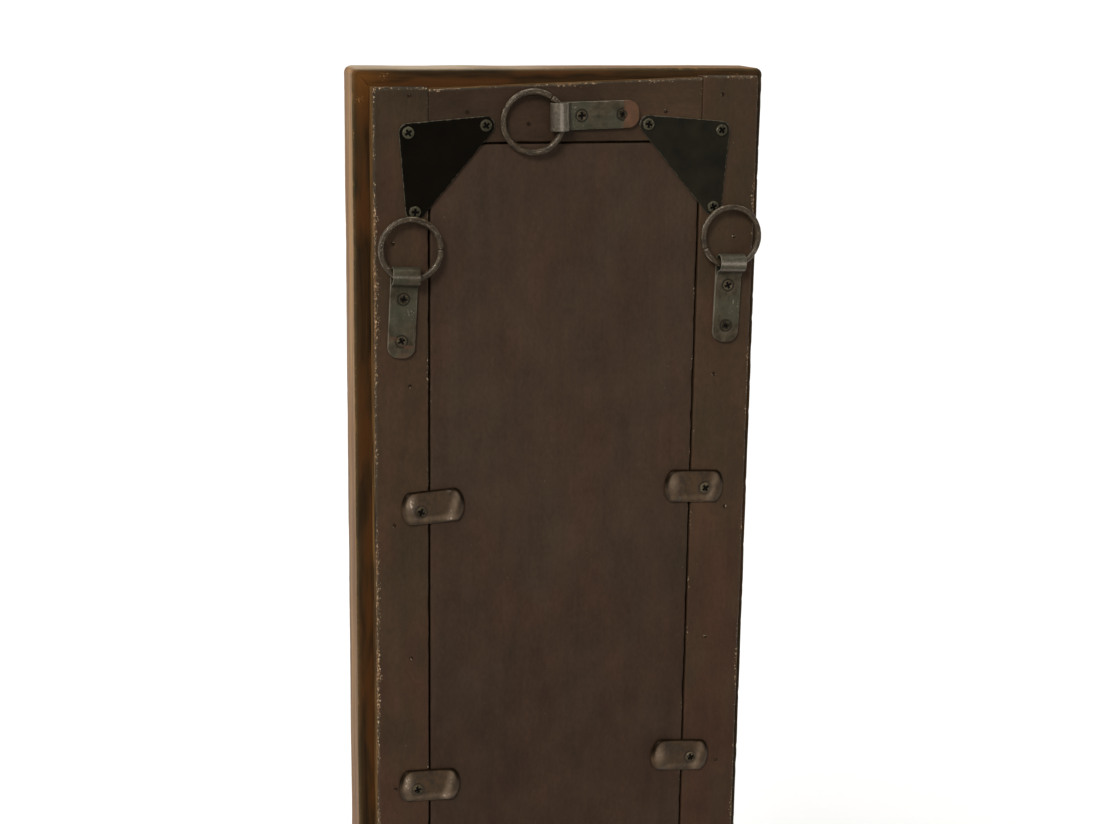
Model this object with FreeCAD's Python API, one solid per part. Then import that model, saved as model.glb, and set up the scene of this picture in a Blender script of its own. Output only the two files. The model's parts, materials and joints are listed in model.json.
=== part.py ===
import FreeCAD, Part
import math
import os

# Sizes are millimetres. X runs across the mirror, Y from its face (-Y) to its back (+Y), Z up.
# Left and right are named as seen from behind, so left is +X.

# Front moulding
overall_width = 300.0
overall_height = 1260.0
moulding_depth = 42.0
outline_radius = 5.5
front_edge_radius = 5.0
back_edge_radius = 2.0
sight_bevel = 6.0
glass_cover = 8.0

# Rear frame
left_lip = 12.0
right_lip = 8.8
left_top_lip = 12.4
right_top_lip = 5.0
left_stile_width = 38.5
rear_depth = 16.0
rear_edge_radius = 1.0
rail_reach = 50.4
rail_drop_left = 1.4
rail_drop_right = 1.2

# Panes in the rear frame
glass_thickness = 4.0
card_thickness = 1.5
board_recess = 0.2
pane_side_gap = 1.5
pane_top_gap = 1.5

# Corner plates
plate_leg = 55.0
plate_margin = 6.5
plate_thickness = 1.2
plate_turn = 4.8
plate_from_opening = 14.3
plate_from_end = 43.2

# Ring hangers
strap_width = 19.4
strap_leaf = 1.4
strap_slit = 0.2
strap_tail = 59.0
strap_corner = 8.0
strap_blend = 3.0
eye_tip = 2.2
eye_tip_rise = 0.6
hanger_screw_first = 17.0
hanger_screw_pitch = 30.0
ring_radius = 21.0
ring_wire_radius = 2.25
ring_joint_angle = 1.5
ring_rest_gap = 0.3
left_hanger_from_top = 142.0
right_hanger_from_top = 138.5
left_hanger_offset = -1.9
right_hanger_offset = 2.4
left_hanger_turn = -2.8
right_hanger_turn = -1.5
left_ring_slip = -2.8
right_ring_slip = 1.3
rail_ring_slip = 3.0
rail_hanger_from_end = 32.6
rail_hanger_gap = 1.0
top_hanger_turn = 91.5
bottom_hanger_turn = 89.0

# Turn buttons
button_length = 46.0
button_width = 25.0
button_corner = 8.5
button_height = 4.4
button_wall = 1.2
button_crown_radius = 3.2
button_pivot_inset = 14.0
button_from_opening = 8.0
button_from_end = 308.4
left_button_drop = 6.4
left_pivot_low = 3.0
right_pivot_low = 1.5
button_rows = 4
button_lift = 0.3
button_end_play = 0.1
button_cup_radius = 6.6
button_cup_floor_radius = 5.2
button_turns_left = (3.6, -2.0, 2.5, -1.5)
button_turns_right = (-3.0, -5.0, 1.5, 2.0)
button_shifts_left = (-2.2, 0.8, -1.0, 1.2)
button_shifts_right = (2.5, -2.4, 0.6, -0.8)

# Screws and brads
plate_screw_head_radius = 4.3
plate_screw_head_height = 1.7
plate_screw_radius = 1.9
hanger_screw_head_radius = 4.0
hanger_screw_radius = 1.9
button_screw_head_radius = 3.8
button_screw_head_height = 2.0
button_screw_radius = 2.0
screw_wood_left = 3.0
screw_tip = 3.0
cross_span = 4.6
cross_slot = 0.9
cross_depth = 1.1
brad_radius = 0.8
brad_head_radius = 1.5
brad_head_height = 0.8
brad_length = 30.0
brad_rows = 13
brad_from_end = 18.0
brad_zigzag = 6.0
rail_brad_middle = 28.2
rail_brad_middle_drop = 37.8
rail_brad_from_stile = 27.5
rail_brad_end_drop = 29.5
screw_hand_turn = 37.0

# Clearances
hole_clearance = 0.3
pivot_clearance = 0.07
eye_clearance = 0.5
wood_clearance = 0.05
cut_over = 1.0

# Values worked out from the sizes above
half_width = overall_width / 2
moulding_front = -moulding_depth / 2
moulding_back = moulding_depth / 2
back_face = moulding_back + rear_depth
half_opening = half_width - left_lip - left_stile_width
rear_left = half_width - left_lip
rear_right = half_width - right_lip
left_middle = (half_opening + rear_left) / 2
right_middle = (half_opening + rear_right) / 2
moulding_face = left_lip + left_stile_width + glass_cover
half_sight = half_width - moulding_face
half_pane = half_opening - pane_side_gap
pane_bottom = rail_reach
pane_top = overall_height - rail_reach - pane_top_gap
board_thickness = rear_depth - glass_thickness - card_thickness - board_recess
screw_bite = rear_depth - screw_wood_left
strap_thickness = 2 * strap_leaf
most_slip = max(abs(left_ring_slip), abs(right_ring_slip), abs(rail_ring_slip))
low_rest = ring_wire_radius + ring_rest_gap
high_rest = plate_thickness + plate_screw_head_height + low_rest
button_pitch = (overall_height - 2 * button_from_end) / (button_rows - 1)
button_cup_floor = button_lift + button_wall
button_from_centre = half_opening + button_from_opening
hanger_head_depth = hanger_screw_head_radius - hanger_screw_radius
plate_from_centre = half_opening + plate_from_opening
plate_inner = plate_from_centre - plate_leg * math.cos(math.radians(plate_turn))
rail_hanger_across = strap_tail + rail_hanger_gap + plate_margin - plate_inner
left_hanger_up = overall_height - left_hanger_from_top
right_hanger_up = overall_height - right_hanger_from_top


def ring_bow(slip):
    """Room that the wire of a ring slipped sideways takes up in its eye, square to the hinge line."""
    inner = ring_radius - ring_wire_radius
    return ring_radius + ring_wire_radius - math.sqrt(inner ** 2 - (strap_width / 2 + abs(slip)) ** 2)


def ring_offset(slip):
    """Ring centre's distance from the hinge line, with the bow halved about that line."""
    return ring_radius + ring_wire_radius - ring_bow(slip) / 2


def ring_tilt(slip, rest):
    """Lean that brings the far side of a ring down to the height where it rests."""
    return math.degrees(math.asin((eye_radius - rest) / (ring_offset(slip) + ring_radius)))


eye_bore_radius = ring_bow(most_slip) / 2 + eye_clearance
eye_radius = eye_bore_radius + strap_leaf
rail_ring_reach = rail_hanger_across + ring_offset(rail_ring_slip) + ring_radius + low_rest
rail_rest = low_rest if rail_ring_reach < plate_inner - plate_margin else high_rest
left_tilt = ring_tilt(left_ring_slip, high_rest)
right_tilt = ring_tilt(right_ring_slip, high_rest)
rail_tilt = ring_tilt(rail_ring_slip, rail_rest)
left_across = left_middle + left_hanger_offset
right_across = -right_middle - right_hanger_offset
top_hanger_up = overall_height - rail_hanger_from_end

# Each hanger: hinge position across and up, the way its ring points (0 is up, 90 is left), slip, tilt
hangers = {
    "left": (left_across, left_hanger_up, left_hanger_turn, left_ring_slip, left_tilt),
    "right": (right_across, right_hanger_up, right_hanger_turn, right_ring_slip, right_tilt),
    "top": (rail_hanger_across, top_hanger_up, top_hanger_turn, rail_ring_slip, rail_tilt),
    "bottom": (rail_hanger_across, rail_hanger_from_end, bottom_hanger_turn, rail_ring_slip, rail_tilt),
}


def vec(x, y, z):
    """Short name for a vector."""
    return FreeCAD.Vector(x, y, z)


def block(x0, x1, y0, y1, z0, z1):
    """Box between two corners."""
    return Part.makeBox(x1 - x0, y1 - y0, z1 - z0, vec(x0, y0, z0))


def outline(points, y):
    """Closed polygon of (x, z) points in the plane at height y."""
    loop = [vec(x, y, z) for x, z in points]
    return Part.makePolygon(loop + loop[:1])


def prism(points, y0, y1):
    """Polygon of (x, z) points carried from y0 to y1."""
    return Part.Face(outline(points, y0)).extrude(vec(0, y1 - y0, 0))


def hull(points, radius, y0, y1):
    """Band stretched round equal discs at convex, counter-clockwise (x, z) points, from y0 to y1."""
    count = len(points)
    angles = []
    for i in range(count):
        (ax, az), (bx, bz) = points[i], points[(i + 1) % count]
        angles.append(math.atan2(-(bx - ax), bz - az))
    edges = []
    for i in range(count):
        (ax, az), (bx, bz) = points[i], points[(i + 1) % count]
        start, turn = angles[i], (angles[(i + 1) % count] - angles[i]) % (2 * math.pi)
        rim = [(start, ax, az), (start, bx, bz), (start + turn / 2, bx, bz), (start + turn, bx, bz)]
        a, b, c, d = [vec(x + radius * math.cos(t), y0, z + radius * math.sin(t)) for t, x, z in rim]
        edges.append(Part.makeLine(a, b))
        edges.append(Part.Arc(b, c, d).toShape())
    return Part.Face(Part.Wire(edges)).extrude(vec(0, y1 - y0, 0))


def edges_at(shape, y):
    """Edges that lie in the plane at height y."""
    near = 1e-6
    return [e for e in shape.Edges if abs(e.BoundBox.YMin - y) < near and abs(e.BoundBox.YMax - y) < near]


def drill(x, z, y, radius, depth):
    """Cylinder that goes depth into the wood from height y."""
    return Part.makeCylinder(radius, depth, vec(x, y, z), vec(0, -1, 0))


def placed(shape, x, y, z, turn=0.0):
    """Copy of a shape turned about Y and then moved."""
    moved = shape.copy()
    moved.rotate(vec(0, 0, 0), vec(0, 1, 0), turn)
    moved.translate(vec(x, y, z))
    return moved


def spun(points, dome=None):
    """Half profile of (radius, height) points turned about Y; dome is the apex over the last one."""
    loop = [vec(r, h, 0) for r, h in points]
    edges = [Part.makeLine(a, b) for a, b in zip(loop, loop[1:])]
    last = points[-1]
    if dome is not None:
        rise = dome - last[1]
        ball = (last[0] ** 2 + rise ** 2) / (2 * rise)
        half = math.asin(last[0] / ball) / 2
        middle = vec(ball * math.sin(half), dome - ball + ball * math.cos(half), 0)
        edges.append(Part.Arc(loop[-1], middle, vec(0, dome, 0)).toShape())
    edges.append(Part.makeLine(edges[-1].Vertexes[-1].Point, loop[0]))
    return Part.Face(Part.Wire(edges)).revolve(vec(0, 0, 0), vec(0, 1, 0), 360)


def crossed(screw, top):
    """Screw with a cross recess cut into its head from height top."""
    long, short = cross_span / 2, cross_slot / 2
    deep = top - cross_depth
    one = block(-long, long, deep, top + cut_over, -short, short)
    two = block(-short, short, deep, top + cut_over, -long, long)
    return screw.cut(one.fuse(two))


def pan_screw(head_radius, head_height, radius, below):
    """Pan-head screw: head above height 0, shank going below it."""
    rim = head_height / 2
    points = [(0, -below), (radius, screw_tip - below), (radius, 0), (head_radius, 0), (head_radius, rim)]
    return crossed(spun(points, head_height), head_height)


def countersunk_screw(below):
    """Countersunk hanger screw with its flat top at height 0."""
    flat, shank = hanger_screw_head_radius, hanger_screw_radius
    points = [(0, -below), (shank, screw_tip - below), (shank, -hanger_head_depth), (flat, 0), (0, 0)]
    return crossed(spun(points), 0.0)


def plate_holes(side, end):
    """Corner, inner and far hole of one corner plate; side +1 is left, end +1 is the top."""
    turn = math.radians(plate_turn)
    corner = (plate_from_centre, plate_from_end)
    inner = (plate_inner, corner[1] - plate_leg * math.sin(turn))
    far = (corner[0] - plate_leg * math.sin(turn), corner[1] + plate_leg * math.cos(turn))
    return [(side * x, overall_height - z if end > 0 else z) for x, z in (corner, inner, far)]


def corner_plate(side, end):
    """Three-hole corner plate with rounded ends."""
    holes = plate_holes(side, end)
    loop = holes if side * end > 0 else holes[::-1]
    plate = hull(loop, plate_margin, back_face, back_face + plate_thickness)
    radius = plate_screw_radius + hole_clearance
    top = back_face + plate_thickness + cut_over
    return plate.cut([drill(x, z, top, radius, plate_thickness + 2 * cut_over) for x, z in holes])


def strap():
    """Folded strap about its hinge line: two leaves screwed down, an eye for the ring at +Z."""
    half = strap_width / 2
    reach = strap_tail - strap_corner
    leaf_corners = [(half - strap_corner, -reach), (half - strap_corner, 0), (strap_corner - half, 0)]
    leaf_corners.append((strap_corner - half, -reach))
    leaf = hull(leaf_corners, strap_corner, 0, strap_thickness)
    leaf = leaf.common(block(-half, half, 0, strap_thickness, -strap_tail, 0))
    along = vec(1, 0, 0)
    eye = Part.makeCylinder(eye_radius, strap_width, vec(-half, eye_radius, 0), along)
    body = leaf.fuse(eye).removeSplitter()
    root = -math.sqrt(eye_radius ** 2 - (eye_radius - strap_thickness) ** 2)
    fold = [e for e in body.Edges if e.Length > strap_width - cut_over
            and (e.CenterOfMass - vec(0, strap_thickness, root)).Length < cut_over / 10]
    body = body.makeFillet(strap_blend, fold)
    wide = half + cut_over
    bore = Part.makeCylinder(eye_bore_radius, 2 * wide, vec(-wide, eye_radius, 0), along)
    low, high = strap_leaf - strap_slit / 2, strap_leaf + strap_slit / 2
    slit = block(-wide, wide, low, high, -strap_tail - cut_over, 0)
    tip = block(-wide, wide, strap_leaf, strap_leaf + eye_tip_rise, -eye_tip, 0)
    body = body.cut([bore, slit, tip])
    for z in hanger_screw_places():
        loose = hanger_screw_radius + hole_clearance
        hole = drill(0, z, strap_thickness, loose, strap_thickness + cut_over)
        wall = hanger_screw_radius + wood_clearance
        flat = hanger_screw_head_radius + wood_clearance
        sink = Part.makeCone(flat, wall, hanger_head_depth, vec(0, strap_thickness, z), vec(0, -1, 0))
        body = body.cut([hole, sink])
    return body


def hanger_screw_places():
    """Screw positions along a strap from its hinge line."""
    return (-hanger_screw_first, -hanger_screw_first - hanger_screw_pitch)


def ring(slip, tilt):
    """Bent wire ring through the eye, slipped to one side, leaning tilt degrees to the wood."""
    up = ring_offset(slip)
    centre = vec(slip, eye_radius, up)
    start = vec(slip + ring_radius, eye_radius, up)
    wire = Part.Face(Part.Wire(Part.makeCircle(ring_wire_radius, start, vec(0, 0, 1))))
    body = wire.revolve(centre, vec(0, 1, 0), 360 - ring_joint_angle)
    body.rotate(vec(0, eye_radius, 0), vec(1, 0, 0), tilt)
    return body


def button(pivot_low):
    """Pressed turn button about its pivot, which lies pivot_low below its middle; long end to -X."""
    high, low = button_lift + button_height, button_lift
    inner_end = button_pivot_inset - button_length
    half = button_width / 2

    def shell(inset, top):
        """Rounded oblong this far inside the outline, with its crown edge rounded."""
        right, left = button_pivot_inset - button_corner, inner_end + button_corner
        up = half - button_corner
        top_side, low_side = pivot_low + up, pivot_low - up
        corners = [(right, low_side), (right, top_side), (left, top_side), (left, low_side)]
        body = hull(corners, button_corner - inset, low, top)
        return body.makeFillet(button_crown_radius - inset, edges_at(body, top))

    hollow = shell(button_wall, high - button_wall)
    body = shell(0, high).cut(hollow)
    depth = high - button_cup_floor
    spread = button_cup_radius - button_cup_floor_radius
    up = vec(0, 1, 0)
    well_low = button_cup_floor_radius + button_wall
    well_high = button_cup_radius + button_wall + spread * button_wall / depth
    well = Part.makeCone(well_low, well_high, high - low, vec(0, low, 0), up)
    well = well.common(hollow)
    cup_high = button_cup_radius + spread * cut_over / depth
    floor = vec(0, button_cup_floor, 0)
    cup = Part.makeCone(button_cup_floor_radius, cup_high, depth + cut_over, floor, up)
    hole = drill(0, 0, high, button_screw_radius + pivot_clearance, high)
    return body.fuse(well).cut([cup, hole]).removeSplitter()


def button_places():
    """Name, position, facing and lay of every turn button, counted from the top."""
    places = []
    for row in range(button_rows):
        z = overall_height - button_from_end - row * button_pitch
        number = str(row + 1)
        left_turn = button_turns_left[row % len(button_turns_left)]
        right_turn = 180 + button_turns_right[row % len(button_turns_right)]
        left_x = button_from_centre + button_shifts_left[row % len(button_shifts_left)]
        right_x = -button_from_centre - button_shifts_right[row % len(button_shifts_right)]
        places.append(("button_left_" + number, left_x, z - left_button_drop, left_turn))
        places.append(("button_right_" + number, right_x, z, right_turn))
    return places


def brad_places():
    """Positions of the brads: a zigzag down each stile and three in each rail."""
    pitch = (overall_height - 2 * brad_from_end) / (brad_rows - 1)
    places = []
    for row in range(brad_rows):
        aside = brad_zigzag if row % 2 else -brad_zigzag
        z = overall_height - brad_from_end - row * pitch
        places += [(left_middle + aside, z), (-right_middle - aside, z)]
    rail_end = half_opening - rail_brad_from_stile
    drops = [(rail_brad_middle, rail_brad_middle_drop)]
    drops += [(rail_end, rail_brad_end_drop), (-rail_end, rail_brad_end_drop)]
    for x, z in drops:
        places += [(x, overall_height - z), (x, z)]
    return places


def brad(gap):
    """Flush brad, made larger all round by gap."""
    head = drill(0, 0, 0, brad_head_radius + gap, brad_head_height + gap)
    return head.fuse(drill(0, 0, 0, brad_radius + gap, brad_length + gap))


def moulding_ring():
    """Whole front frame: a rounded box with the sight opening cut through and bevelled at the front."""
    body = block(-half_width, half_width, moulding_front, moulding_back, 0, overall_height)
    upright = [e for e in body.Edges if e.BoundBox.YLength > moulding_depth / 2]
    body = body.makeFillet(outline_radius, upright)
    body = body.makeFillet(front_edge_radius, edges_at(body, moulding_front))
    body = body.makeFillet(back_edge_radius, edges_at(body, moulding_back))

    def sight(grow):
        """Corners of the sight opening, larger by grow."""
        x, low = half_sight + grow, moulding_face - grow
        return [(-x, low), (x, low), (x, overall_height - low), (-x, overall_height - low)]

    opening = prism(sight(0), moulding_front - cut_over, moulding_back + cut_over)
    wide = outline(sight(sight_bevel + cut_over), moulding_front - cut_over)
    bevel = Part.makeLoft([wide, outline(sight(0), moulding_front + sight_bevel)], True, True)
    return body.cut([opening, bevel])


def moulding_members():
    """The moulding cut at its mitres into four members."""
    brad_holes = [placed(brad(wood_clearance), x, back_face, z) for x, z in brad_places()]
    whole = moulding_ring().cut(brad_holes)
    out, inn = half_width + cut_over, half_sight - cut_over
    top, bottom = overall_height + cut_over, -cut_over
    inner_top, inner_bottom = overall_height - moulding_face - cut_over, moulding_face + cut_over
    corners = {
        "top": [(-out, top), (out, top), (inn, inner_top), (-inn, inner_top)],
        "bottom": [(-out, bottom), (out, bottom), (inn, inner_bottom), (-inn, inner_bottom)],
        "left": [(out, bottom), (out, top), (inn, inner_top), (inn, inner_bottom)],
        "right": [(-out, bottom), (-out, top), (-inn, inner_top), (-inn, inner_bottom)],
    }
    wedges = {name: prism(points, moulding_front - cut_over, moulding_back + cut_over)
              for name, points in corners.items()}
    return {name: whole.common(wedge) for name, wedge in wedges.items()}


def rear_members():
    """Stiles and rails of the rear frame, with worn back edges and all their fixing holes."""
    left_high, right_high = overall_height - left_top_lip, overall_height - right_top_lip
    left_end, right_end = left_top_lip + rail_drop_left, right_top_lip + rail_drop_right
    edge = [(-half_opening, right_end), (half_opening, left_end)]
    edge += [(half_opening, rail_reach), (-half_opening, rail_reach)]
    members = {
        "stile_left": block(half_opening, rear_left, moulding_back, back_face, 0, left_high),
        "stile_right": block(-rear_right, -half_opening, moulding_back, back_face, 0, right_high),
        "rail_top": prism([(x, overall_height - z) for x, z in edge], moulding_back, back_face),
        "rail_bottom": prism(edge, moulding_back, back_face),
    }
    holes = [placed(brad(wood_clearance), x, back_face, z) for x, z in brad_places()]
    deep = screw_bite + wood_clearance
    plate_hole = plate_screw_radius + wood_clearance
    hanger_hole = hanger_screw_radius + wood_clearance
    button_hole = button_screw_radius + wood_clearance
    for side in (1, -1):
        for end in (1, -1):
            holes += [drill(x, z, back_face, plate_hole, deep) for x, z in plate_holes(side, end)]
    for x, z in hanger_screws():
        holes.append(drill(x, z, back_face, hanger_hole, deep))
    for _, x, z, _ in button_places():
        holes.append(drill(x, z, back_face, button_hole, deep))
    for name, body in members.items():
        body = body.makeFillet(rear_edge_radius, edges_at(body, back_face))
        members[name] = body.cut([h for h in holes if h.BoundBox.intersect(body.BoundBox)])
    return members


def hanger_screws():
    """Positions of all the hanger screws."""
    places = []
    for x, z, turn, _, _ in hangers.values():
        angle = math.radians(turn)
        places += [(x + s * math.sin(angle), z + s * math.cos(angle)) for s in hanger_screw_places()]
    return places


def screw_set(screw, places, y):
    """Group of equal screws, each turned a little differently as a hand leaves them."""
    turned = enumerate(places)
    return Part.makeCompound([placed(screw, x, y, z, screw_hand_turn * i) for i, (x, z) in turned])


def build():
    """Every node of the part by name."""
    nodes = {"moulding_" + name: body for name, body in moulding_members().items()}
    nodes.update(rear_members())
    panes = [("mirror_glass", glass_thickness), ("card_sheet", card_thickness)]
    panes.append(("backing_board", board_thickness))
    y = moulding_back
    for name, thickness in panes:
        nodes[name] = block(-half_pane, half_pane, y, y + thickness, pane_bottom, pane_top)
        y += thickness
    plate_screws = []
    for end, end_name in ((1, "top"), (-1, "bottom")):
        for side, side_name in ((1, "left"), (-1, "right")):
            nodes["corner_plate_" + end_name + "_" + side_name] = corner_plate(side, end)
            plate_screws += plate_holes(side, end)
    for name, (x, z, turn, slip, tilt) in hangers.items():
        nodes["hanger_strap_" + name] = placed(strap(), x, back_face, z, turn)
        nodes["hanger_ring_" + name] = placed(ring(slip, tilt), x, back_face, z, turn)
    for name, x, z, turn in button_places():
        pivot_low = left_pivot_low if x > 0 else -right_pivot_low
        nodes["turn_" + name] = placed(button(pivot_low), x, back_face, z, turn)
    below = plate_thickness + screw_bite
    screw = pan_screw(plate_screw_head_radius, plate_screw_head_height, plate_screw_radius, below)
    nodes["corner_plate_screws"] = screw_set(screw, plate_screws, back_face + plate_thickness)
    screw = countersunk_screw(strap_thickness + screw_bite)
    nodes["hanger_screws"] = screw_set(screw, hanger_screws(), back_face + strap_thickness)
    seat = button_cup_floor + button_end_play
    below = seat + screw_bite
    screw = pan_screw(button_screw_head_radius, button_screw_head_height, button_screw_radius, below)
    pivots = [(x, z) for _, x, z, _ in button_places()]
    nodes["button_screws"] = screw_set(screw, pivots, back_face + seat)
    brads = [placed(brad(0), x, back_face, z) for x, z in brad_places()]
    nodes["frame_brads"] = Part.makeCompound(brads)
    return nodes


os.makedirs("parts", exist_ok=True)
for node_name, node_shape in build().items():
    node_shape.exportStep("parts/" + node_name + ".step")
    print(node_name, len(node_shape.Solids), round(node_shape.Volume), node_shape.isValid())
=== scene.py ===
# %% [markdown]
# # The back of a tall mirror
# The object is a tall, narrow mirror that leans or hangs. The photograph shows its
# back: a chunky stained moulding, a brown painted rear frame nailed on behind it, a
# let-in board, black corner plates, ring hangers and pressed turn buttons.
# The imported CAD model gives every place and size. This script only dresses it, so
# each piece below is made where its CAD node lies and then stands for that node.

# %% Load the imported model
import json
import bmesh
import bpy
import numpy as np
from mathutils import Matrix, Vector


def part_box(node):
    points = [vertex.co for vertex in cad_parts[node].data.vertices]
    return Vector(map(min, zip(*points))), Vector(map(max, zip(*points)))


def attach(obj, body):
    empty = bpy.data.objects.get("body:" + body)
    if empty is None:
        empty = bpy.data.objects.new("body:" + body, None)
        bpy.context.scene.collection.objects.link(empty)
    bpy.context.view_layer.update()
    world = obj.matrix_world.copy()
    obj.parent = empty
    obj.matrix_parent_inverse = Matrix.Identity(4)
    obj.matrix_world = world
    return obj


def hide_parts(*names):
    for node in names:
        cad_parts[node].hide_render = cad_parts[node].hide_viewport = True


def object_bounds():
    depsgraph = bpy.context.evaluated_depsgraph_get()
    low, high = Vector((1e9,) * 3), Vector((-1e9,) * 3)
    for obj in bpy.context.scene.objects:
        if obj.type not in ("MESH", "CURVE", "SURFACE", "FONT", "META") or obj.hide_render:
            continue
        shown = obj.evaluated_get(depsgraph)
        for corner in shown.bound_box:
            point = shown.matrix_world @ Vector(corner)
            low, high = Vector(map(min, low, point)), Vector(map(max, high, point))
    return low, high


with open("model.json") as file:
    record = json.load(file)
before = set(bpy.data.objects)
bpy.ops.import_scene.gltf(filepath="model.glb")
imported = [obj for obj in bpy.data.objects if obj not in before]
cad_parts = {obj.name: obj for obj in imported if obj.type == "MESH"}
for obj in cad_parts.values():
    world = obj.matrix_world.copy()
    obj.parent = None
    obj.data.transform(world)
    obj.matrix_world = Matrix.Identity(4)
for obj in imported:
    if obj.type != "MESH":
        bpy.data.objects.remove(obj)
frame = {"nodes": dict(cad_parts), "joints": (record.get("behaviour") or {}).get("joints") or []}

cad_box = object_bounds()
MM = 0.001
print("CAD box in mm:", [[round(v / MM, 1) for v in corner] for corner in cad_box])

# %% [markdown]
# ## Surfaces from arrays
# Every new piece is a grid of points: rows run along the piece and columns run round
# it. One function turns such a grid into a mesh. It closes the columns into a loop and
# merges points that fall together, so a row that shrinks to one point closes an end.
# Numbers that a finish needs, such as how near a point is to an edge, ride along as
# named attributes, because a material can read those on any piece.

# %% A mesh from a grid
WELD = 2e-6
SHARP = np.radians(38)
MADE = "_made"


def skin(name, points, marks):
    """One mesh from a grid of points in mm, shaped (rows, columns, 3), or a stack of such grids.

    Each cell between two rows and two columns is a quad. marks holds the named
    attributes, one number or one vector for each point.
    """
    grids = points.reshape(-1, *points.shape[-3:])
    copies, rows, columns, _ = grids.shape
    row, column = np.meshgrid(np.arange(rows - 1), np.arange(columns), indexing="ij")
    after = (column + 1) % columns
    corners = (row * columns + column, row * columns + after,
               (row + 1) * columns + after, (row + 1) * columns + column)
    cell = np.stack(corners, axis=-1).reshape(-1, 4)
    cells = (cell + np.arange(copies)[:, None, None] * rows * columns).reshape(-1, 4)
    mesh = bpy.data.meshes.new(name + MADE)
    mesh.from_pydata(grids.reshape(-1, 3) * MM, [], cells)
    for key, values in marks.items():
        single = values.ndim < points.ndim
        field = mesh.attributes.new(key, "FLOAT" if single else "FLOAT_VECTOR", "POINT")
        field.data.foreach_set("value" if single else "vector", values.astype(np.float32).ravel())
    shell = bmesh.new()
    shell.from_mesh(mesh)
    bmesh.ops.remove_doubles(shell, verts=shell.verts, dist=WELD)
    bmesh.ops.recalc_face_normals(shell, faces=shell.faces)
    shell.to_mesh(mesh)
    shell.free()
    mesh.shade_smooth()
    mesh.set_sharp_from_angle(angle=SHARP)
    piece = bpy.data.objects.new(name + MADE, mesh)
    bpy.context.collection.objects.link(piece)
    return piece


def settle(piece, finish, body):
    """Gives a piece its finish and body, and lets it stand for the node it is named after."""
    piece.data.materials.append(finish)
    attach(piece, body)
    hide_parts(piece.name.removesuffix(MADE))
    print(f"{piece.name}: {len(piece.data.polygons)} faces on {body}")


# %% [markdown]
# ## Unevenness
# Sawn, planed and hand-painted things are never quite straight. Two helpers give smooth
# random heights between -1 and 1, along a line or over an area. The spacing of the
# random knots is a real size in millimetres, and each seed is fixed, so every run gives
# the same mirror.

# %% Smooth random heights
KNOTS = 512


def eased(place):
    """The knot below each place, and the share of the way to the next, eased at both ends."""
    low = np.floor(place).astype(int)
    share = place - low
    return low, share * share * (3.0 - 2.0 * share)


def wander(along, every, seed):
    """Random heights at knots `every` mm apart, joined by eased steps."""
    heights = np.random.default_rng(seed).uniform(-1.0, 1.0, KNOTS)
    low, share = eased(np.asarray(along) / every)
    return heights[low % KNOTS] * (1.0 - share) + heights[(low + 1) % KNOTS] * share


def rolling(u, v, every_u, every_v, seed):
    """The same over an area: four knots round each point, eased both ways."""
    heights = np.random.default_rng(seed).uniform(-1.0, 1.0, (KNOTS, KNOTS))
    lu, su = eased(np.asarray(u) / every_u)
    lv, sv = eased(np.asarray(v) / every_v)
    left, right = lv % KNOTS, (lv + 1) % KNOTS
    near, far = (heights[row % KNOTS, left] * (1 - sv) + heights[row % KNOTS, right] * sv
                 for row in (lu, lu + 1))
    return near * (1 - su) + far * su


def smooth(low, high, value):
    """0 below low, 1 above high, and an eased step between them."""
    share = np.clip((value - low) / (high - low), 0.0, 1.0)
    return share * share * (3.0 - 2.0 * share)


print("one roll:", round(float(rolling(3.0, 4.0, 10.0, 10.0, 1)), 3))

# %% [markdown]
# ## Building finishes
# A finish is a small tree of shader nodes. One function adds a node, sets it up and
# fills its inputs, with a value or with another node. Colours are written as the sRGB
# hex that one reads off a screen, and turned to linear light here. Two more functions take
# up what most finishes share: noises stretched along the grain, and tints laid in coats.

# %% One node at a time
USED_OUTPUT = {"Mix": 2, "SeparateXYZ": 2, "TexCoord": "Object"}


def tone(code):
    """An sRGB hex colour as linear RGBA: c / 12.92 near black, else ((c + 0.055) / 1.055) ^ 2.4."""
    share = np.array([int(code[i:i + 2], 16) for i in (1, 3, 5)]) / 255.0
    linear = np.where(share <= 0.04045, share / 12.92, ((share + 0.055) / 1.055) ** 2.4)
    return (*linear.tolist(), 1.0)


def fill(tree, node, inputs):
    """Fills a node's inputs: a node is linked, a hex colour is made linear, a value is set."""
    for key, value in inputs.items():
        if isinstance(value, bpy.types.Node):
            value = value.outputs[USED_OUTPUT.get(value.bl_idname.removeprefix("ShaderNode"), 0)]
        if isinstance(value, bpy.types.NodeSocket):
            tree.links.new(value, node.inputs[key])
        else:
            node.inputs[key].default_value = tone(value) if isinstance(value, str) else value


def add(tree, kind, inputs, **settings):
    """Adds a shader node, sets its properties and fills its inputs."""
    made = tree.nodes.new("ShaderNode" + kind)
    for key, value in settings.items():
        setattr(made, key, value)
    fill(tree, made, inputs)
    return made


def start(name, *marks):
    """An empty material, its node tree, its Principled shader and the attributes that it reads."""
    material = bpy.data.materials.new(name)
    material.use_nodes = True
    tree = material.node_tree
    read = []
    for mark in marks:
        attribute = add(tree, "Attribute", {}, attribute_name=mark)
        read.append(attribute.outputs["Vector" if mark == "grain" else "Fac"])
    return material, tree, tree.nodes["Principled BSDF"], *read


# %% Patterns and coats


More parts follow.
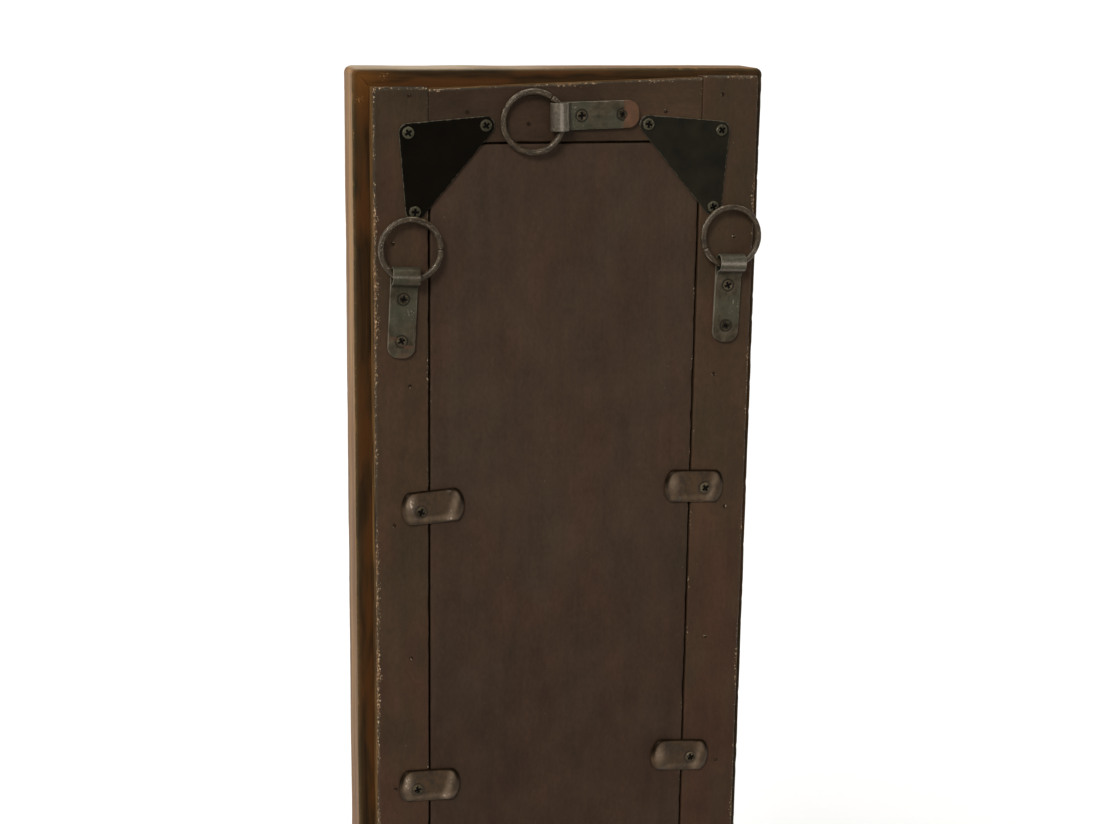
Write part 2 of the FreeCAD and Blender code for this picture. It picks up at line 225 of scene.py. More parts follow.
def patterns(tree, space, *rows, unit=1.0):
    """Noises in a space where a millimetre measures `unit`, such as the grain attribute.

    A row gives a noise's spacing in mm, alike or along each axis, its detail, its roughness and,
    where it should not match another, a shift.
    """
    made = []
    for spacing, detail, rough, *shift in rows:
        scale = 1 / (np.broadcast_to(spacing, 3) * unit)
        place = add(tree, "Mapping", {"Vector": space, "Scale": scale.tolist(),
                                      "Location": (shift or [(0, 0, 0)])[0]})
        made.append(add(tree, "TexNoise", {"Vector": place, "Scale": 1.0, "Detail": detail,
                                           "Roughness": rough}))
    return made


def coats(tree, colour, *rows):
    """Lays tints over a colour, one after another.

    A row names what drives the coat, the values of it where the coat starts and is full,
    the share of the tint at full, the tint and, if it isn't straight, the easing.
    """
    for driver, low, high, most, tint, *easing in rows:
        share = add(tree, "MapRange", {0: driver, 1: low, 2: high, 4: most},
                    interpolation_type=(easing or ["LINEAR"])[0])
        colour = add(tree, "Mix", {0: share, 6: colour, 7: tint}, data_type="RGBA")
    return colour


print("paper white is", [round(v, 3) for v in tone("#f4f2ee")])

# %% [markdown]
# ## The painted rear frame: shape
# Two stiles and two rails are plain sawn battens under brown paint. A box with a bevel
# would be too perfect: the real corners are knocked and chipped, and the painted face
# dips a little. So a rounded rectangle is carried along the batten, and its two rear
# corners sink in where a slow random line rises, which gives chips of many lengths.

# %% A walk round a batten
CORNER_STEPS = 5


def batten_walk(face_steps, side_steps):
    """One walk round a rounded rectangle: (share across, share through, lean across, lean through).

    The shares place a corner's centre between the edges and faces, and the leans, from
    -1 to 1, say how much of the corner radius is added. Points crowd towards the corners.
    """
    quarter = np.linspace(0.0, np.pi / 2, CORNER_STEPS)
    face = 0.5 - 0.5 * np.cos(np.linspace(0.0, np.pi, face_steps + 2)[1:-1])
    side = 0.5 - 0.5 * np.cos(np.linspace(0.0, np.pi, side_steps + 2)[1:-1])
    flats = [(1 - face, 1 + 0 * face, 0 * face, 1 + 0 * face),
             (0 * side, 1 - side, -1 + 0 * side, 0 * side),
             (face, 0 * face, 0 * face, -1 + 0 * face),
             (1 + 0 * side, side, 1 + 0 * side, 0 * side)]
    walk = []
    for turn, (across, through) in enumerate([(1, 1), (0, 1), (0, 0), (1, 0)]):
        angle = quarter + turn * np.pi / 2
        centre = np.array([[across], [through]]) + 0 * angle
        walk += [np.concatenate([centre, [np.cos(angle), np.sin(angle)]]), np.stack(flats[turn])]
    return np.concatenate(walk, axis=1)


# %% A batten carried along a line
FACE_STEPS, SIDE_STEPS = 14, 5
KNOCK_FADE = 2.0
CORNER_FADE, CORNER_EXTRA = 6.0, 0.4
CHIP_EVERY, NICK_EVERY, CHIP_REACH = 6.5, 2.1, 1.3
CHIP_SLANT = 0.7
DIP_SLOW, DIP_FINE = (38, 170), (7, 60)
SEED_APART = 300.0


def capped(rows):
    """The rows with one more at each end, drawn to the middle of the first and of the last."""
    first, last = (row.mean(axis=1, keepdims=True) + 0 * row for row in (rows[:1], rows[-1:]))
    return np.concatenate([first, rows, last])


def batten(name, low, high, front, back, ends, step, radius, chip, worn, hollow, seed, soot, place):
    """A batten between the two ends, the edges low and high and the faces front and back.

    low and high are functions of the place along it, so an edge may slant. The section
    is a rounded rectangle that draws in over the last `radius` at each end. Rear corners
    sink by up to `chip` where a random line along the batten is high, and the rear face
    dips by up to `hollow`. worn says how knocked the low, high, first and last edges are, and
    a side that is much knocked has bare stained wood on its flank.
    A function of the places across and along says how much darker the paint is made there.
    place turns (across, through, along) into x, y, z.
    """
    inner = np.arange(ends[0] + radius, ends[1] - radius, step)
    bend = radius * (1 - np.cos(np.linspace(0, np.pi / 2, CORNER_STEPS)))
    along = np.concatenate([ends[0] + bend[:-1], inner, ends[1] - bend[::-1][1:]])[:, None]
    reach = np.minimum(along - ends[0], ends[1] - along)
    draw = radius - np.sqrt(np.maximum(radius ** 2 - np.maximum(radius - reach, 0) ** 2, 0))
    share_a, share_t, lean_a, lean_t = batten_walk(FACE_STEPS, SIDE_STEPS)[:, None, :]
    left, right = low(along) + draw, high(along) - draw
    across = left + radius + share_a * (right - left - 2 * radius) + lean_a * radius
    depth = back - front - 2 * draw - 2 * radius
    through = front + draw + radius + share_t * depth + lean_t * radius
    along = along + 0 * across
    gaps = (across - low(along), high(along) - across, along - ends[0], ends[1] - along)
    near = [np.hypot(gap, back - through) for gap in gaps]
    edge = np.max([share * np.exp(-gap / KNOCK_FADE) for share, gap in zip(worn, near)], axis=0)
    corner = np.exp(-np.hypot(near[1], near[3]) / CORNER_FADE)
    edge = edge + CORNER_EXTRA * worn[1] * worn[3] * corner
    knocked = smooth(0.75, 0.85, np.where(share_a > 0.5, worn[1], worn[0]))
    flank = smooth(0.5, 1.6, back - through) * knocked
    for side, gap in enumerate(near[:2]):
        bite = smooth(0.25, 0.9, wander(along, CHIP_EVERY, seed + side))
        bite = bite + 0.5 * smooth(0.2, 1.0, wander(along, NICK_EVERY, seed + 9 + side))
        sink = chip * worn[side] * bite * np.exp(-(gap / CHIP_REACH) ** 2)
        across = across + sink * (1 - 2 * side) * CHIP_SLANT
        through = through - sink * CHIP_SLANT
    dip = 0.5 + 0.35 * rolling(across, along, *DIP_SLOW, seed + 20)
    dip = dip + 0.15 * rolling(across, along, *DIP_FINE, seed + 21)
    through = through - hollow * dip * smooth(0.45, 0.9, share_t + 0 * along)
    rows = [capped(v) for v in (across, through, along)]
    edge, flank = (np.concatenate([v[:1], v, v[-1:]]) for v in (edge, flank))
    grain = np.stack([rows[2] + SEED_APART * seed, rows[0], rows[1]], axis=-1)
    return skin(name, np.stack(place(*rows), axis=-1),
                {"edge": edge, "flank": flank, "soot": soot(rows[0], rows[2]), "grain": grain})


# %% Stiles and rails where the CAD has them


def box_mm(node):
    """A node's lowest and highest corners at rest, in mm."""
    return np.array(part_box(node)) / MM


def upright(across, through, along):
    """A batten that stands: across is x and along is z."""
    return across, through, along


def level(across, through, along):
    """A batten that lies across the mirror: across is z and along is x."""
    return along, through, across


def line(at, slope=0.0, begin=0.0):
    """An edge as a function of the place along it: straight, and at `at` where it begins."""
    return lambda s: at + slope * (s - begin)


BATTEN_STEP = 1.6
HOLLOW = 0.35
RAIL_SLANT = 7.6
RAIL_GAP = 0.25
WORN = {"left": (0.6, 1.0, 0.6, 1.0), "right": (0.74, 0.4, 0.6, 0.8),
        "top": (0.45, 0.86, 0.3, 0.3), "bottom": (0.9, 0.5, 0.3, 0.3)}
# How much darker the paint is made on each batten: towards the bottom of the stiles, near the top
# of the left stile, towards the left end of the top rail, and over the whole bottom rail.
DIMMED = {"left": lambda across, z: 0.3 * (1 - smooth(720, 950, z)) + 0.3 * smooth(1060, 1180, z),
        "right": lambda across, z: 0.45 * (1 - smooth(720, 960, z)),
        "top": lambda across, x: 0.75 * smooth(-75, -5, x),
        "bottom": lambda across, x: 0.4 + 0 * x}
battens = []
for seed, side in enumerate(("left", "right")):
    (x0, y0, z0), (x1, y1, z1) = box_mm("stile_" + side)
    battens.append(batten("stile_" + side, line(x0), line(x1), y0, y1, (z0, z1), BATTEN_STEP,
                          radius=0.9, chip=0.9, worn=WORN[side], hollow=HOLLOW, seed=11 + 40 * seed,
                          soot=DIMMED[side], place=upright))
for seed, end in enumerate(("top", "bottom")):
    (x0, y0, z0), (x1, y1, z1) = box_mm("rail_" + end)
    slope = RAIL_SLANT / (x1 - x0)
    low_edge, high_edge = ((line(z0), line(z1, -slope, x0)) if end == "top"
                           else (line(z0, slope, x0), line(z1)))
    ends = (x0 + RAIL_GAP, x1 - RAIL_GAP)
    battens.append(batten("rail_" + end, low_edge, high_edge, y0, y1, ends, BATTEN_STEP, radius=0.8,
                          chip=0.7, worn=WORN[end], hollow=HOLLOW, seed=91 + 40 * seed,
                          soot=DIMMED[end], place=level))
print("battens:", [p.name for p in battens])

# %% [markdown]
# ## The painted rear frame: finish
# This is brown emulsion brushed on pine. It looks flat and slightly chalky, with faint
# brush lines along each batten, patches that lean to olive or to red, and small pits.
# Where corners were knocked the paint is gone: brown pine and pale flecks show, with a
# line of dark grime beside them. The chips read the edge attribute, so they stay on the
# corners, and the brush lines read the grain attribute, so they run along each batten.

# %% The paint
REDDER_BELOW, REDDEST_BELOW = 1.06, 0.70


def brushed_paint(tree, grain, soot, main, olive, red):
    """The paint's colour, and three noises that its surface follows.

    Slow noises tint it to olive and, lower down, to red. A long one streaks it along the grain,
    two shorter ones mottle it, and it is made darker in listed zones.
    """
    cloud, blush, brush, stipple, smudge = patterns(
        tree, grain, ((110, 46, 46), 4, 0.5), ((70, 34, 34), 3, 0.5, (7, 3, 0)),
        ((130, 7, 7), 5, 0.6), ((4.5, 2.6, 2.6), 4, 0.7), ((40, 26, 26), 5, 0.6, (0, 9, 4)))
    up = add(tree, "SeparateXYZ", {0: add(tree, "TexCoord", {})})
    lower = add(tree, "MapRange", {0: up, 1: REDDER_BELOW, 2: REDDEST_BELOW, 4: 0.16},
                interpolation_type="SMOOTHSTEP")
    blushed = add(tree, "Math", {0: blush, 1: lower}, operation="ADD")
    colour = coats(tree, main, (cloud, 0.40, 0.68, 0.8, olive, "SMOOTHSTEP"),
                   (blushed, 0.48, 0.74, 1.0, red, "SMOOTHSTEP"))
    streak = add(tree, "MapRange", {0: brush, 1: 0.30, 2: 0.72, 3: 0.93, 4: 1.07})
    dapple = add(tree, "MapRange", {0: stipple, 1: 0.3, 2: 0.7, 3: 0.86, 4: 1.14})
    shade = add(tree, "MapRange", {0: smudge, 1: 0.32, 2: 0.68, 3: 0.84, 4: 1.16})
    # Here the paint is made darker in the listed zones.
    darkened = add(tree, "Math", {0: soot, 1: -0.45, 2: shade}, operation="MULTIPLY_ADD")
    for mottle in (streak, dapple, darkened):
        colour = add(tree, "Mix", {0: 1.0, 6: colour, 7: mottle}, data_type="RGBA",
                     blend_type="MULTIPLY")
    return colour, cloud, brush, stipple


# %% Brown emulsion on pine
SPECK_SPACING = (19, 15, 15)


def emulsion(name, main, olive, red, wear):
    """Brushed paint with specks of dust and pits, edges lightened partly by grease and partly as
    painted highlight, and knocked ones gone to wood.
    """
    material, tree, shader, grain, edge, flank, soot = start(name, "grain", "edge", "flank", "soot")
    colour, cloud, brush, stipple = brushed_paint(tree, grain, soot, main, olive, red)
    figure, flake, spell = patterns(
        tree, grain, ((45, 2.4, 2.4), 4, 0.6), ((1.7, 1.1, 1.1), 4, 0.7), (38, 3, 0.5))
    stain = coats(tree, "#1d130a", (figure, 0.40, 0.62, 1.0, "#6f512d"))
    specks_at = add(tree, "Mapping", {"Vector": grain, "Scale": [1 / mm for mm in SPECK_SPACING]})
    specks = add(tree, "TexVoronoi", {"Vector": specks_at, "Scale": 1.0, "Randomness": 1.0})
    speck = add(tree, "MapRange", {0: specks, 1: 0.02, 2: 0.036, 3: 0.6, 4: 0.0})
    dust = coats(tree, "#120b06", (specks.outputs["Color"], 0.52, 0.62, 1.0, "#5c5042"))
    # Edges turn a lighter olive grey: partly grease and partly painted highlight on the lit edges.
    grease_and_edge_light = add(tree, "MapRange", {0: edge, 1: 0.38, 2: 0.6, 4: 0.7})
    spread = add(tree, "MapRange", {0: spell, 1: 0.40, 2: 0.60, 3: 0.25, 4: 1.0})
    rubbed = add(tree, "Math", {0: grease_and_edge_light, 1: spread}, operation="MULTIPLY")
    for share, cover in ((flank, stain), (speck, dust), (rubbed, "#403e31")):
        colour = add(tree, "Mix", {0: share, 6: colour, 7: cover}, data_type="RGBA")
    push = add(tree, "MapRange", {0: spell, 1: 0.36, 2: 0.66, 3: -0.16, 4: 0.12})
    knocked = add(tree, "Math", {0: edge, 1: flake}, operation="ADD")
    knocked = add(tree, "Math", {0: knocked, 1: push}, operation="ADD")
    colour = coats(tree, colour, (knocked, 1.12 - wear, 1.32 - wear, 0.6, "#211b14"))
    frayed = add(tree, "Math", {0: edge, 1: 0.5}, operation="POWER")
    frayed = add(tree, "Math", {0: frayed, 1: 0.6, 2: flake}, operation="MULTIPLY_ADD")
    frayed = add(tree, "Math", {0: frayed, 1: push}, operation="ADD")
    bare = add(tree, "MapRange", {0: frayed, 1: 1.06 - wear, 2: 1.12 - wear})
    wood = coats(tree, "#5f4329", (flake, 0.54, 0.68, 1.0, "#b8a182"))
    colour = add(tree, "Mix", {0: bare, 6: colour, 7: wood}, data_type="RGBA")
    height = add(tree, "Math", {0: brush, 1: 0.3, 2: stipple}, operation="MULTIPLY_ADD")
    height = add(tree, "Math", {0: height, 1: bare}, operation="SUBTRACT")
    bump = add(tree, "Bump", {"Strength": 0.25, "Distance": 0.0005, "Height": height})
    gloss = add(tree, "MapRange", {0: cloud, 1: 0.3, 2: 0.7, 3: 0.46, 4: 0.58})
    fill(tree, shader, {"Base Color": colour, "Roughness": gloss, "Normal": bump,
                        "Specular IOR Level": 0.08})
    return material


frame_paint = emulsion("brown_emulsion_brushed_on_pine", "#392a1d", "#33291b", "#3e2a1e", wear=0.06)
for piece in battens:
    settle(piece, frame_paint, "frame")

# %% [markdown]
# ## The backing board
# A sheet of fibreboard closes the back. It is let in between the battens with a narrow
# gap all round, so the gap is real and goes dark by itself. It is made as one wide
# batten, with softer edges, and its paint is a little greyer and smudged.

# %% The board between the battens
(x0, y0, z0), (x1, y1, z1) = box_mm("backing_board")
BOARD_STEP = 3.0
BOARD_WORN = (0.62, 0.4, 0.4, 0.4)
# The board is made darker towards the bottom.
board = batten("backing_board", line(x0), line(x1), y0, y1, (z0, z1), BOARD_STEP, radius=1.0,
               chip=1.1, worn=BOARD_WORN, hollow=0.3, seed=211, place=upright,
               soot=lambda across, z: 0.5 * (1 - smooth(720, 1000, z)))
board_paint = emulsion("brown_emulsion_on_fibreboard", "#36281d", "#34291e", "#38281d", wear=0.0)
settle(board, board_paint, "frame")

# %% [markdown]
# ## The moulding: shape
# The front frame is four lengths of one moulding, mitred at the corners. Its section has
# a well rounded front edge, a softened back edge and a bevel beside the glass. The section
# is carried along each side. Points near the outside run round the frame's rounded corner
# up to the mitre, and points further in stop at the mitre directly.

# %% The moulding's section
MOULD_WIDE = 58.5
MOULD_HALF = 21.0
FRONT_ROUND = 5.0
BACK_ROUND = 2.0
SIGHT_BEVEL = 6.0
ROUND_ROWS, BACK_ROWS, SIDE_ROWS, FACE_ROWS, BEVEL_ROWS, INNER_ROWS = 8, 26, 13, 18, 5, 7
BACK_CROWD = 1.6


def moulding_section():
    """Points (in from the outer edge, through), in the order that the section is walked.

    Back face, back round, side, front round, face, sight bevel and inner edge.
    """
    quarter = np.linspace(0.0, np.pi / 2, ROUND_ROWS)
    crowded = np.linspace(1.0, 0.0, BACK_ROWS)[:-1] ** BACK_CROWD
    back_flat = BACK_ROUND + (MOULD_WIDE - BACK_ROUND) * crowded
    side = np.linspace(MOULD_HALF - BACK_ROUND, FRONT_ROUND - MOULD_HALF, SIDE_ROWS)[1:-1]
    face = np.linspace(FRONT_ROUND, MOULD_WIDE - SIGHT_BEVEL, FACE_ROWS)[1:]
    bevel = np.linspace(0.0, SIGHT_BEVEL, BEVEL_ROWS)[1:]
    inner = np.linspace(SIGHT_BEVEL - MOULD_HALF, MOULD_HALF, INNER_ROWS)[1:-1]
    front = FRONT_ROUND - MOULD_HALF
    return np.concatenate([
        (back_flat, MOULD_HALF + 0 * back_flat),
        (BACK_ROUND * (1 - np.sin(quarter)), MOULD_HALF - BACK_ROUND * (1 - np.cos(quarter))),
        (0 * side, side),
        (FRONT_ROUND * (1 - np.cos(quarter)), front - FRONT_ROUND * np.sin(quarter)),
        (face, -MOULD_HALF + 0 * face),
        (MOULD_WIDE - SIGHT_BEVEL + bevel, bevel - MOULD_HALF),
        (MOULD_WIDE + 0 * inner, inner)], axis=1)


print("moulding section:", moulding_section()[0].size, "points")

# %% The moulding along each side
CORNER_ROUND = 5.5
MITRE_VEE = 0.01
MOULD_STEP = 2.2
NICK_DEEP = 0.7
HEEL_REACH = 24.0
DUST_AND_HIGHLIGHT_REACH = 1.1
WEAR_DEEP, WEAR_EVERY, WEAR_REACH = 0.22, 34, 4.0
THIN_BY = 0.012
RUB_IN, RUB_DOWN, RUB_REACH = 22.0, 5.0, 8.0
GRAIN_APART = 3000.0


def moulding(name, half, seed, lit, dust_and_highlight, place):
    """One mitred length, `half` from its middle to its outer corner.

    A point `inward` from the outer edge runs straight to the corner's round, then round it
    by 45 degrees on the radius left over; points further in than the radius stop at the mitre.
    The last row shrinks by MITRE_VEE, so two lengths meet in a fine groove. lit says how far the
    stain glows orange round the corner at the far end, and the last number before place says how
    pale the outer face is made, partly as dust and partly as painted highlight.
    """
    inward, through = moulding_section()
    left_over = np.maximum(CORNER_ROUND - inward, 0.0)
    straight = half - np.maximum(inward, CORNER_ROUND)
    arc = np.linspace(0.0, np.pi / 4, 7)[1:, None]
    share = np.linspace(0.0, 1.0, int(half / MOULD_STEP))[:, None]
    run = np.concatenate([share * straight, straight + left_over * np.sin(arc)])
    sunk = np.concatenate([inward + 0 * share, inward + left_over * (1 - np.cos(arc))])
    deep = through + 0 * run
    middle = MOULD_WIDE / 2
    run = np.concatenate([run, run[-1:]])
    sunk = np.concatenate([sunk, middle + (sunk[-1:] - middle) * (1 - MITRE_VEE / middle)])
    deep = np.concatenate([deep, deep[-1:] * (1 - MITRE_VEE / MOULD_HALF)])
    run[-2] -= 1.0 * (inward >= CORNER_ROUND)
    run = np.concatenate([run, np.full_like(run[:1], half - middle)])
    sunk = np.concatenate([sunk, np.full_like(sunk[:1], middle)])
    deep = np.concatenate([deep, np.zeros_like(deep[:1])])
    run, sunk, deep = (np.concatenate([sign * v[:0:-1], v])
                       for v, sign in ((run, -1), (sunk, 1), (deep, 1)))
    worn = WEAR_DEEP * (1 + wander(run, WEAR_EVERY, seed)) * np.exp(-sunk / WEAR_REACH)
    back_edge = np.hypot(sunk, MOULD_HALF - deep)
    front_edge = np.hypot(sunk, MOULD_HALF + deep)
    edge = np.exp(-np.maximum(np.minimum(back_edge - 1.0, front_edge - 1.8), 0.0) / 1.3)
    nick = 0.5 * smooth(0.35, 0.95, wander(run, 5.5, seed + 3)) * edge
    sunk = sunk + worn + nick * NICK_DEEP
    thinned = 1 - THIN_BY * (1 + rolling(run, sunk, 60, 18, seed + 5)) / 2
    deep = deep * thinned - nick * NICK_DEEP * np.sign(deep)
    corner = np.hypot(half - abs(run) - RUB_IN, sunk - RUB_DOWN) / RUB_REACH
    rubbed = np.maximum(0.46 * np.exp(-corner ** 2), 0.4 * edge)
    heel = lit * np.exp(-(np.hypot(half - run, sunk) / HEEL_REACH) ** 2)
    patchy = smooth(-0.5, 0.8, run / half) * (0.7 + 0.3 * wander(run, 26, seed + 7))
    # The pale band along the outer face is partly dust and partly painted highlight.
    dust = dust_and_highlight * np.exp(-(sunk / DUST_AND_HIGHLIGHT_REACH) ** 2) * patchy
    grain = np.stack([run + GRAIN_APART * seed, sunk, deep], axis=-1)
    return skin(name, np.stack(place(run, sunk, deep), axis=-1),
                {"edge": edge, "rubbed": rubbed, "heel": heel, "dust": dust, "grain": grain})


(x0, _, z0), (x1, _, z1) = np.array(cad_box) / MM
tall, middle_z = (z1 - z0) / 2, (z1 + z0) / 2
MOULDED = {"top": (x1, 1.0, 0.85, lambda run, sunk, deep: (run, deep, z1 - sunk)),
           "bottom": (x1, 0.5, 0.0, lambda run, sunk, deep: (run, deep, z0 + sunk)),
           "left": (tall, 1.0, 0.0, lambda run, sunk, deep: (x1 - sunk, deep, middle_z + run)),
           "right": (tall, 0.0, 0.0, lambda run, sunk, deep: (x0 + sunk, deep, middle_z + run))}
mouldings = [moulding("moulding_" + side, half, seed, lit, dust_and_highlight, place)
             for seed, (side, (half, lit, dust_and_highlight, place)) in enumerate(MOULDED.items(), 1)]
print("mouldings:", [p.name for p in mouldings])

# %% [markdown]
# ## The moulding: finish
# Stained and waxed hardwood: long grain lines, open pores that hold darker stain, and a
# low satin sheen. The stain is lighter on the sides and front. It was flooded on darker over
# the back lip, and glows warmer at some corners. Knocked edges show pale wood. The rounded
# edges are darkened as painted shade, and the pale band along the top is partly dust and
# partly painted highlight.

# %% Stained and waxed hardwood
LIP_FADE = 1.4
moulding_wood, tree, shader, grain, edge, rubbed, heel, dust = start(
    "stained_waxed_hardwood", "grain", "edge", "rubbed", "heel", "dust")
figure, fibre, band, patch, slow, knock = patterns(
    tree, grain, ((120, 7, 7), 5, 0.65), ((11, 1.1, 1.1), 3, 0.65), ((420, 8, 17), 8, 0.7),
    ((190, 8, 15), 5, 0.65), ((70, 14, 14), 2, 0.5), ((2, 0.9, 0.9), 4, 0.65))
fill(tree, figure, {"Distortion": 0.6})
colour = coats(tree, "#452a12", (band, 0.37, 0.63, 1.0, "#a07640"))
combed = coats(tree, "#412710", (fibre, 0.32, 0.68, 1.0, "#9c7743"))
ruddy = add(tree, "MapRange", {0: patch, 1: 0.44, 2: 0.66, 4: 0.6})
through = add(tree, "SeparateXYZ", {0: grain})
ragged = add(tree, "Math", {0: figure, 1: 2.0, 2: through}, operation="MULTIPLY_ADD")
lip = add(tree, "MapRange", {0: ragged, 1: MOULD_HALF - LIP_FADE, 2: MOULD_HALF})
flood = coats(tree, "#160d05", (figure, 0.34, 0.66, 1.0, "#382511"),
              (slow, 0.50, 0.62, 0.8, "#452911"))
warmed = add(tree, "Mix", {0: ruddy, 6: "#5a3714", 7: "#2f1c0a"}, data_type="RGBA")
flood = add(tree, "Mix", {0: heel, 6: flood, 7: warmed}, data_type="RGBA")
pore = add(tree, "MapRange", {0: fibre, 1: 0.36, 2: 0.26, 4: 0.55})
# Painted shade: the rounded edges are darkened to a greenish grey.
edge_shade_painted = add(tree, "Math", {0: edge, 1: 0.45}, operation="MULTIPLY")
# The pale band on the outer face is partly dust and partly painted highlight.
for share, cover in ((0.25, combed), (ruddy, "#61391c"), (lip, flood), (pore, "#24160b"),
                     (edge_shade_painted, "#453d29"), (dust, "#b5a48a")):
    colour = add(tree, "Mix", {0: share, 6: colour, 7: cover}, data_type="RGBA")
handled = add(tree, "Math", {0: rubbed, 1: knock}, operation="ADD")
colour = coats(tree, colour, (handled, 0.98, 1.16, 0.7, "#b5854f"))
height = add(tree, "Math", {0: pore, 1: -0.8, 2: fibre}, operation="MULTIPLY_ADD")
bump = add(tree, "Bump", {"Strength": 0.35, "Distance": 0.0005, "Height": height})
gloss = add(tree, "MapRange", {0: figure, 1: 0.3, 2: 0.7, 3: 0.40, 4: 0.54})
fill(tree, shader, {"Base Color": colour, "Roughness": gloss, "Normal": bump,
                    "Specular IOR Level": 0.05})
for piece in mouldings:
    settle(piece, moulding_wood, "frame")

# %% [markdown]
# ## Corner plates: shape
# Each corner joint is held by a stamped three-hole plate. Its outline is the shape that
# a tight band would take round three discs, one about each hole. The outline is walked
# evenly, and rows of it run from the underside, up the edge, over a small rolled corner
# and in to the middle. The holes are hidden by screw heads, so they are left out here.

# %% A stamped plate
PLATE_THICK = 1.2
PLATE_MARGIN = 6.5
DIRECTIONS, PLATE_STEPS = 721, 180
PLATE_ROLL, PLATE_SPAN = 0.45, 40.0
DENT_DEEP, DENT_EVERY = 0.10, 24
RUB_SPAN, RUB_FADE = 30.0, 0.9
PLATE_CORNER = np.array([113.8, 43.2])
PLATE_LEG = 55.0
PLATE_SKEW = np.radians(4.8)
PLATE_HOLES = PLATE_CORNER + PLATE_LEG * np.array(
    [[0, 0], [-np.cos(PLATE_SKEW), -np.sin(PLATE_SKEW)], [-np.sin(PLATE_SKEW), np.cos(PLATE_SKEW)]])
back_face = box_mm("stile_left")[1][1]


def banded(centres, margin, count):
    """A band round discs: the furthest disc in each direction, walked in even steps."""
    angle = np.linspace(0.0, 2 * np.pi, DIRECTIONS)
    aim = np.stack([np.cos(angle), np.sin(angle)], axis=-1)
    outer = centres[np.argmax(aim @ centres.T, axis=1)] + margin * aim
    walked = np.concatenate([[0.0], np.cumsum(np.linalg.norm(np.diff(outer, axis=0), axis=1))])
    even = np.linspace(0.0, walked[-1], count + 1)[:-1]
    return np.stack([np.interp(even, walked, outer[:, k]) for k in (0, 1)], axis=-1)


def corner_plate(name, side, upward, seed):
    """Rows of the outline: underside centre, lower edge, rolled upper edge, then in to the centre.

    side is +1 or -1 in x. upward is the height that the plate is measured from, and the sense.
    """
    outline = banded(PLATE_HOLES, PLATE_MARGIN, PLATE_STEPS)
    centre = outline.mean(axis=0)
    turn = np.linspace(0.0, np.pi / 2, 5)[1:]
    inward = np.linspace(0.985, 0.0, 12)
    rolled = 1 - PLATE_ROLL / PLATE_SPAN * (1 - np.cos(turn))
    shrink = np.concatenate([[0.0, 1.0, 1.0], rolled, inward])
    lift = np.concatenate([[0.0, 0.0, PLATE_THICK - PLATE_ROLL],
                           PLATE_THICK - PLATE_ROLL * (1 - np.sin(turn)), PLATE_THICK + 0 * inward])
    flat = centre + shrink[:, None, None] * (outline - centre)
    rise = lift[:, None] + 0 * flat[..., 0]
    dents = rolling(flat[..., 0], flat[..., 1], DENT_EVERY, DENT_EVERY, seed)
    rise = rise + (rise > PLATE_THICK / 2) * DENT_DEEP * dents
    edge = np.exp(-(1 - shrink)[:, None] * RUB_SPAN / RUB_FADE) + 0 * rise
    origin, sense = upward
    x, z = side * flat[..., 0], origin + sense * flat[..., 1]
    return skin(name, np.stack([x, back_face + rise, z], axis=-1), {"edge": edge})


tip = np.array(cad_box)[1][2] / MM
PLATE_PLACES = {"top_left": (1, (tip, -1)), "top_right": (-1, (tip, -1)),
                "bottom_left": (1, (0.0, 1)), "bottom_right": (-1, (0.0, 1))}
plates = {key: corner_plate("corner_plate_" + key, side, upward, 300 + k)
          for k, (key, (side, upward)) in enumerate(PLATE_PLACES.items())}
print("plates:", list(plates))

# %% [markdown]
# ## Corner plates: finish
# Sheet steel dipped in black lacquer and left matt. It gives a deep black with a soft, dull
# sheen, and a thin pale line along the stamped edge, partly rubbed steel and partly painted
# highlight. The plates on one side are given a lighter, greenish black as painted reflection,
# and more sheen, so the finish is made in two tones.

# %% Black lacquered sheet steel


def black_lacquer(name, deep, mottle_black, shine, sheen):
    """Matt lacquer: slow noise between two blacks, scuffs in its sheen, and a pale edge line that
    is partly bare steel and partly painted highlight.
    """
    material, tree, shader, edge = start(name, "edge")
    cloud, scuff = patterns(tree, add(tree, "TexCoord", {}), (18, 5, 0.6), (3.5, 4, 0.6), unit=MM)
    # The pale line along the stamped edge is partly rubbed steel and partly painted highlight.
    rubbed = add(tree, "Math", {0: edge, 1: scuff}, operation="MULTIPLY")
    colour = coats(tree, deep, (cloud, 0.35, 0.68, 1.0, mottle_black), (rubbed, 0.28, 0.5, 0.75, "#5a5446"))
    rough = add(tree, "MapRange", {0: scuff, 1: 0.3, 2: 0.7, 3: shine - 0.06, 4: shine + 0.1})
    bump = add(tree, "Bump", {"Strength": 0.25, "Distance": 0.0003, "Height": cloud})
    fill(tree, shader, {"Base Color": colour, "Roughness": rough, "Normal": bump,
                        "Specular IOR Level": sheen})
    return material


plain_black = black_lacquer("black_lacquered_sheet_steel", "#080603", "#0c0905",
                            shine=0.5, sheen=0.02)
# The right-hand plates get lighter, greener blacks that stand in for the reflection they show:
# painted reflection.
reflection_painted_black = black_lacquer("aged_black_lacquered_sheet_steel", "#14120c", "#1e1b13",
                           shine=0.45, sheen=0.04)
for key, piece in plates.items():
    settle(piece, reflection_painted_black if key.endswith("right") else plain_black, "frame")

# %% [markdown]
# ## Screws
# Three kinds hold the hardware: pan heads in the plates, countersunk heads in the hanger
# straps and small round heads in the turn buttons. A head is a height over a disc: a dome,
# less a cross-shaped recess. All heads of one kind are worked out together, each turned by
# its own angle, since nobody lines up slots on the back of a mirror.

# %% Heads with a cross recess
RIM_DROP = 0.55
HEAD_RINGS, HEAD_COLUMNS = 22, 64


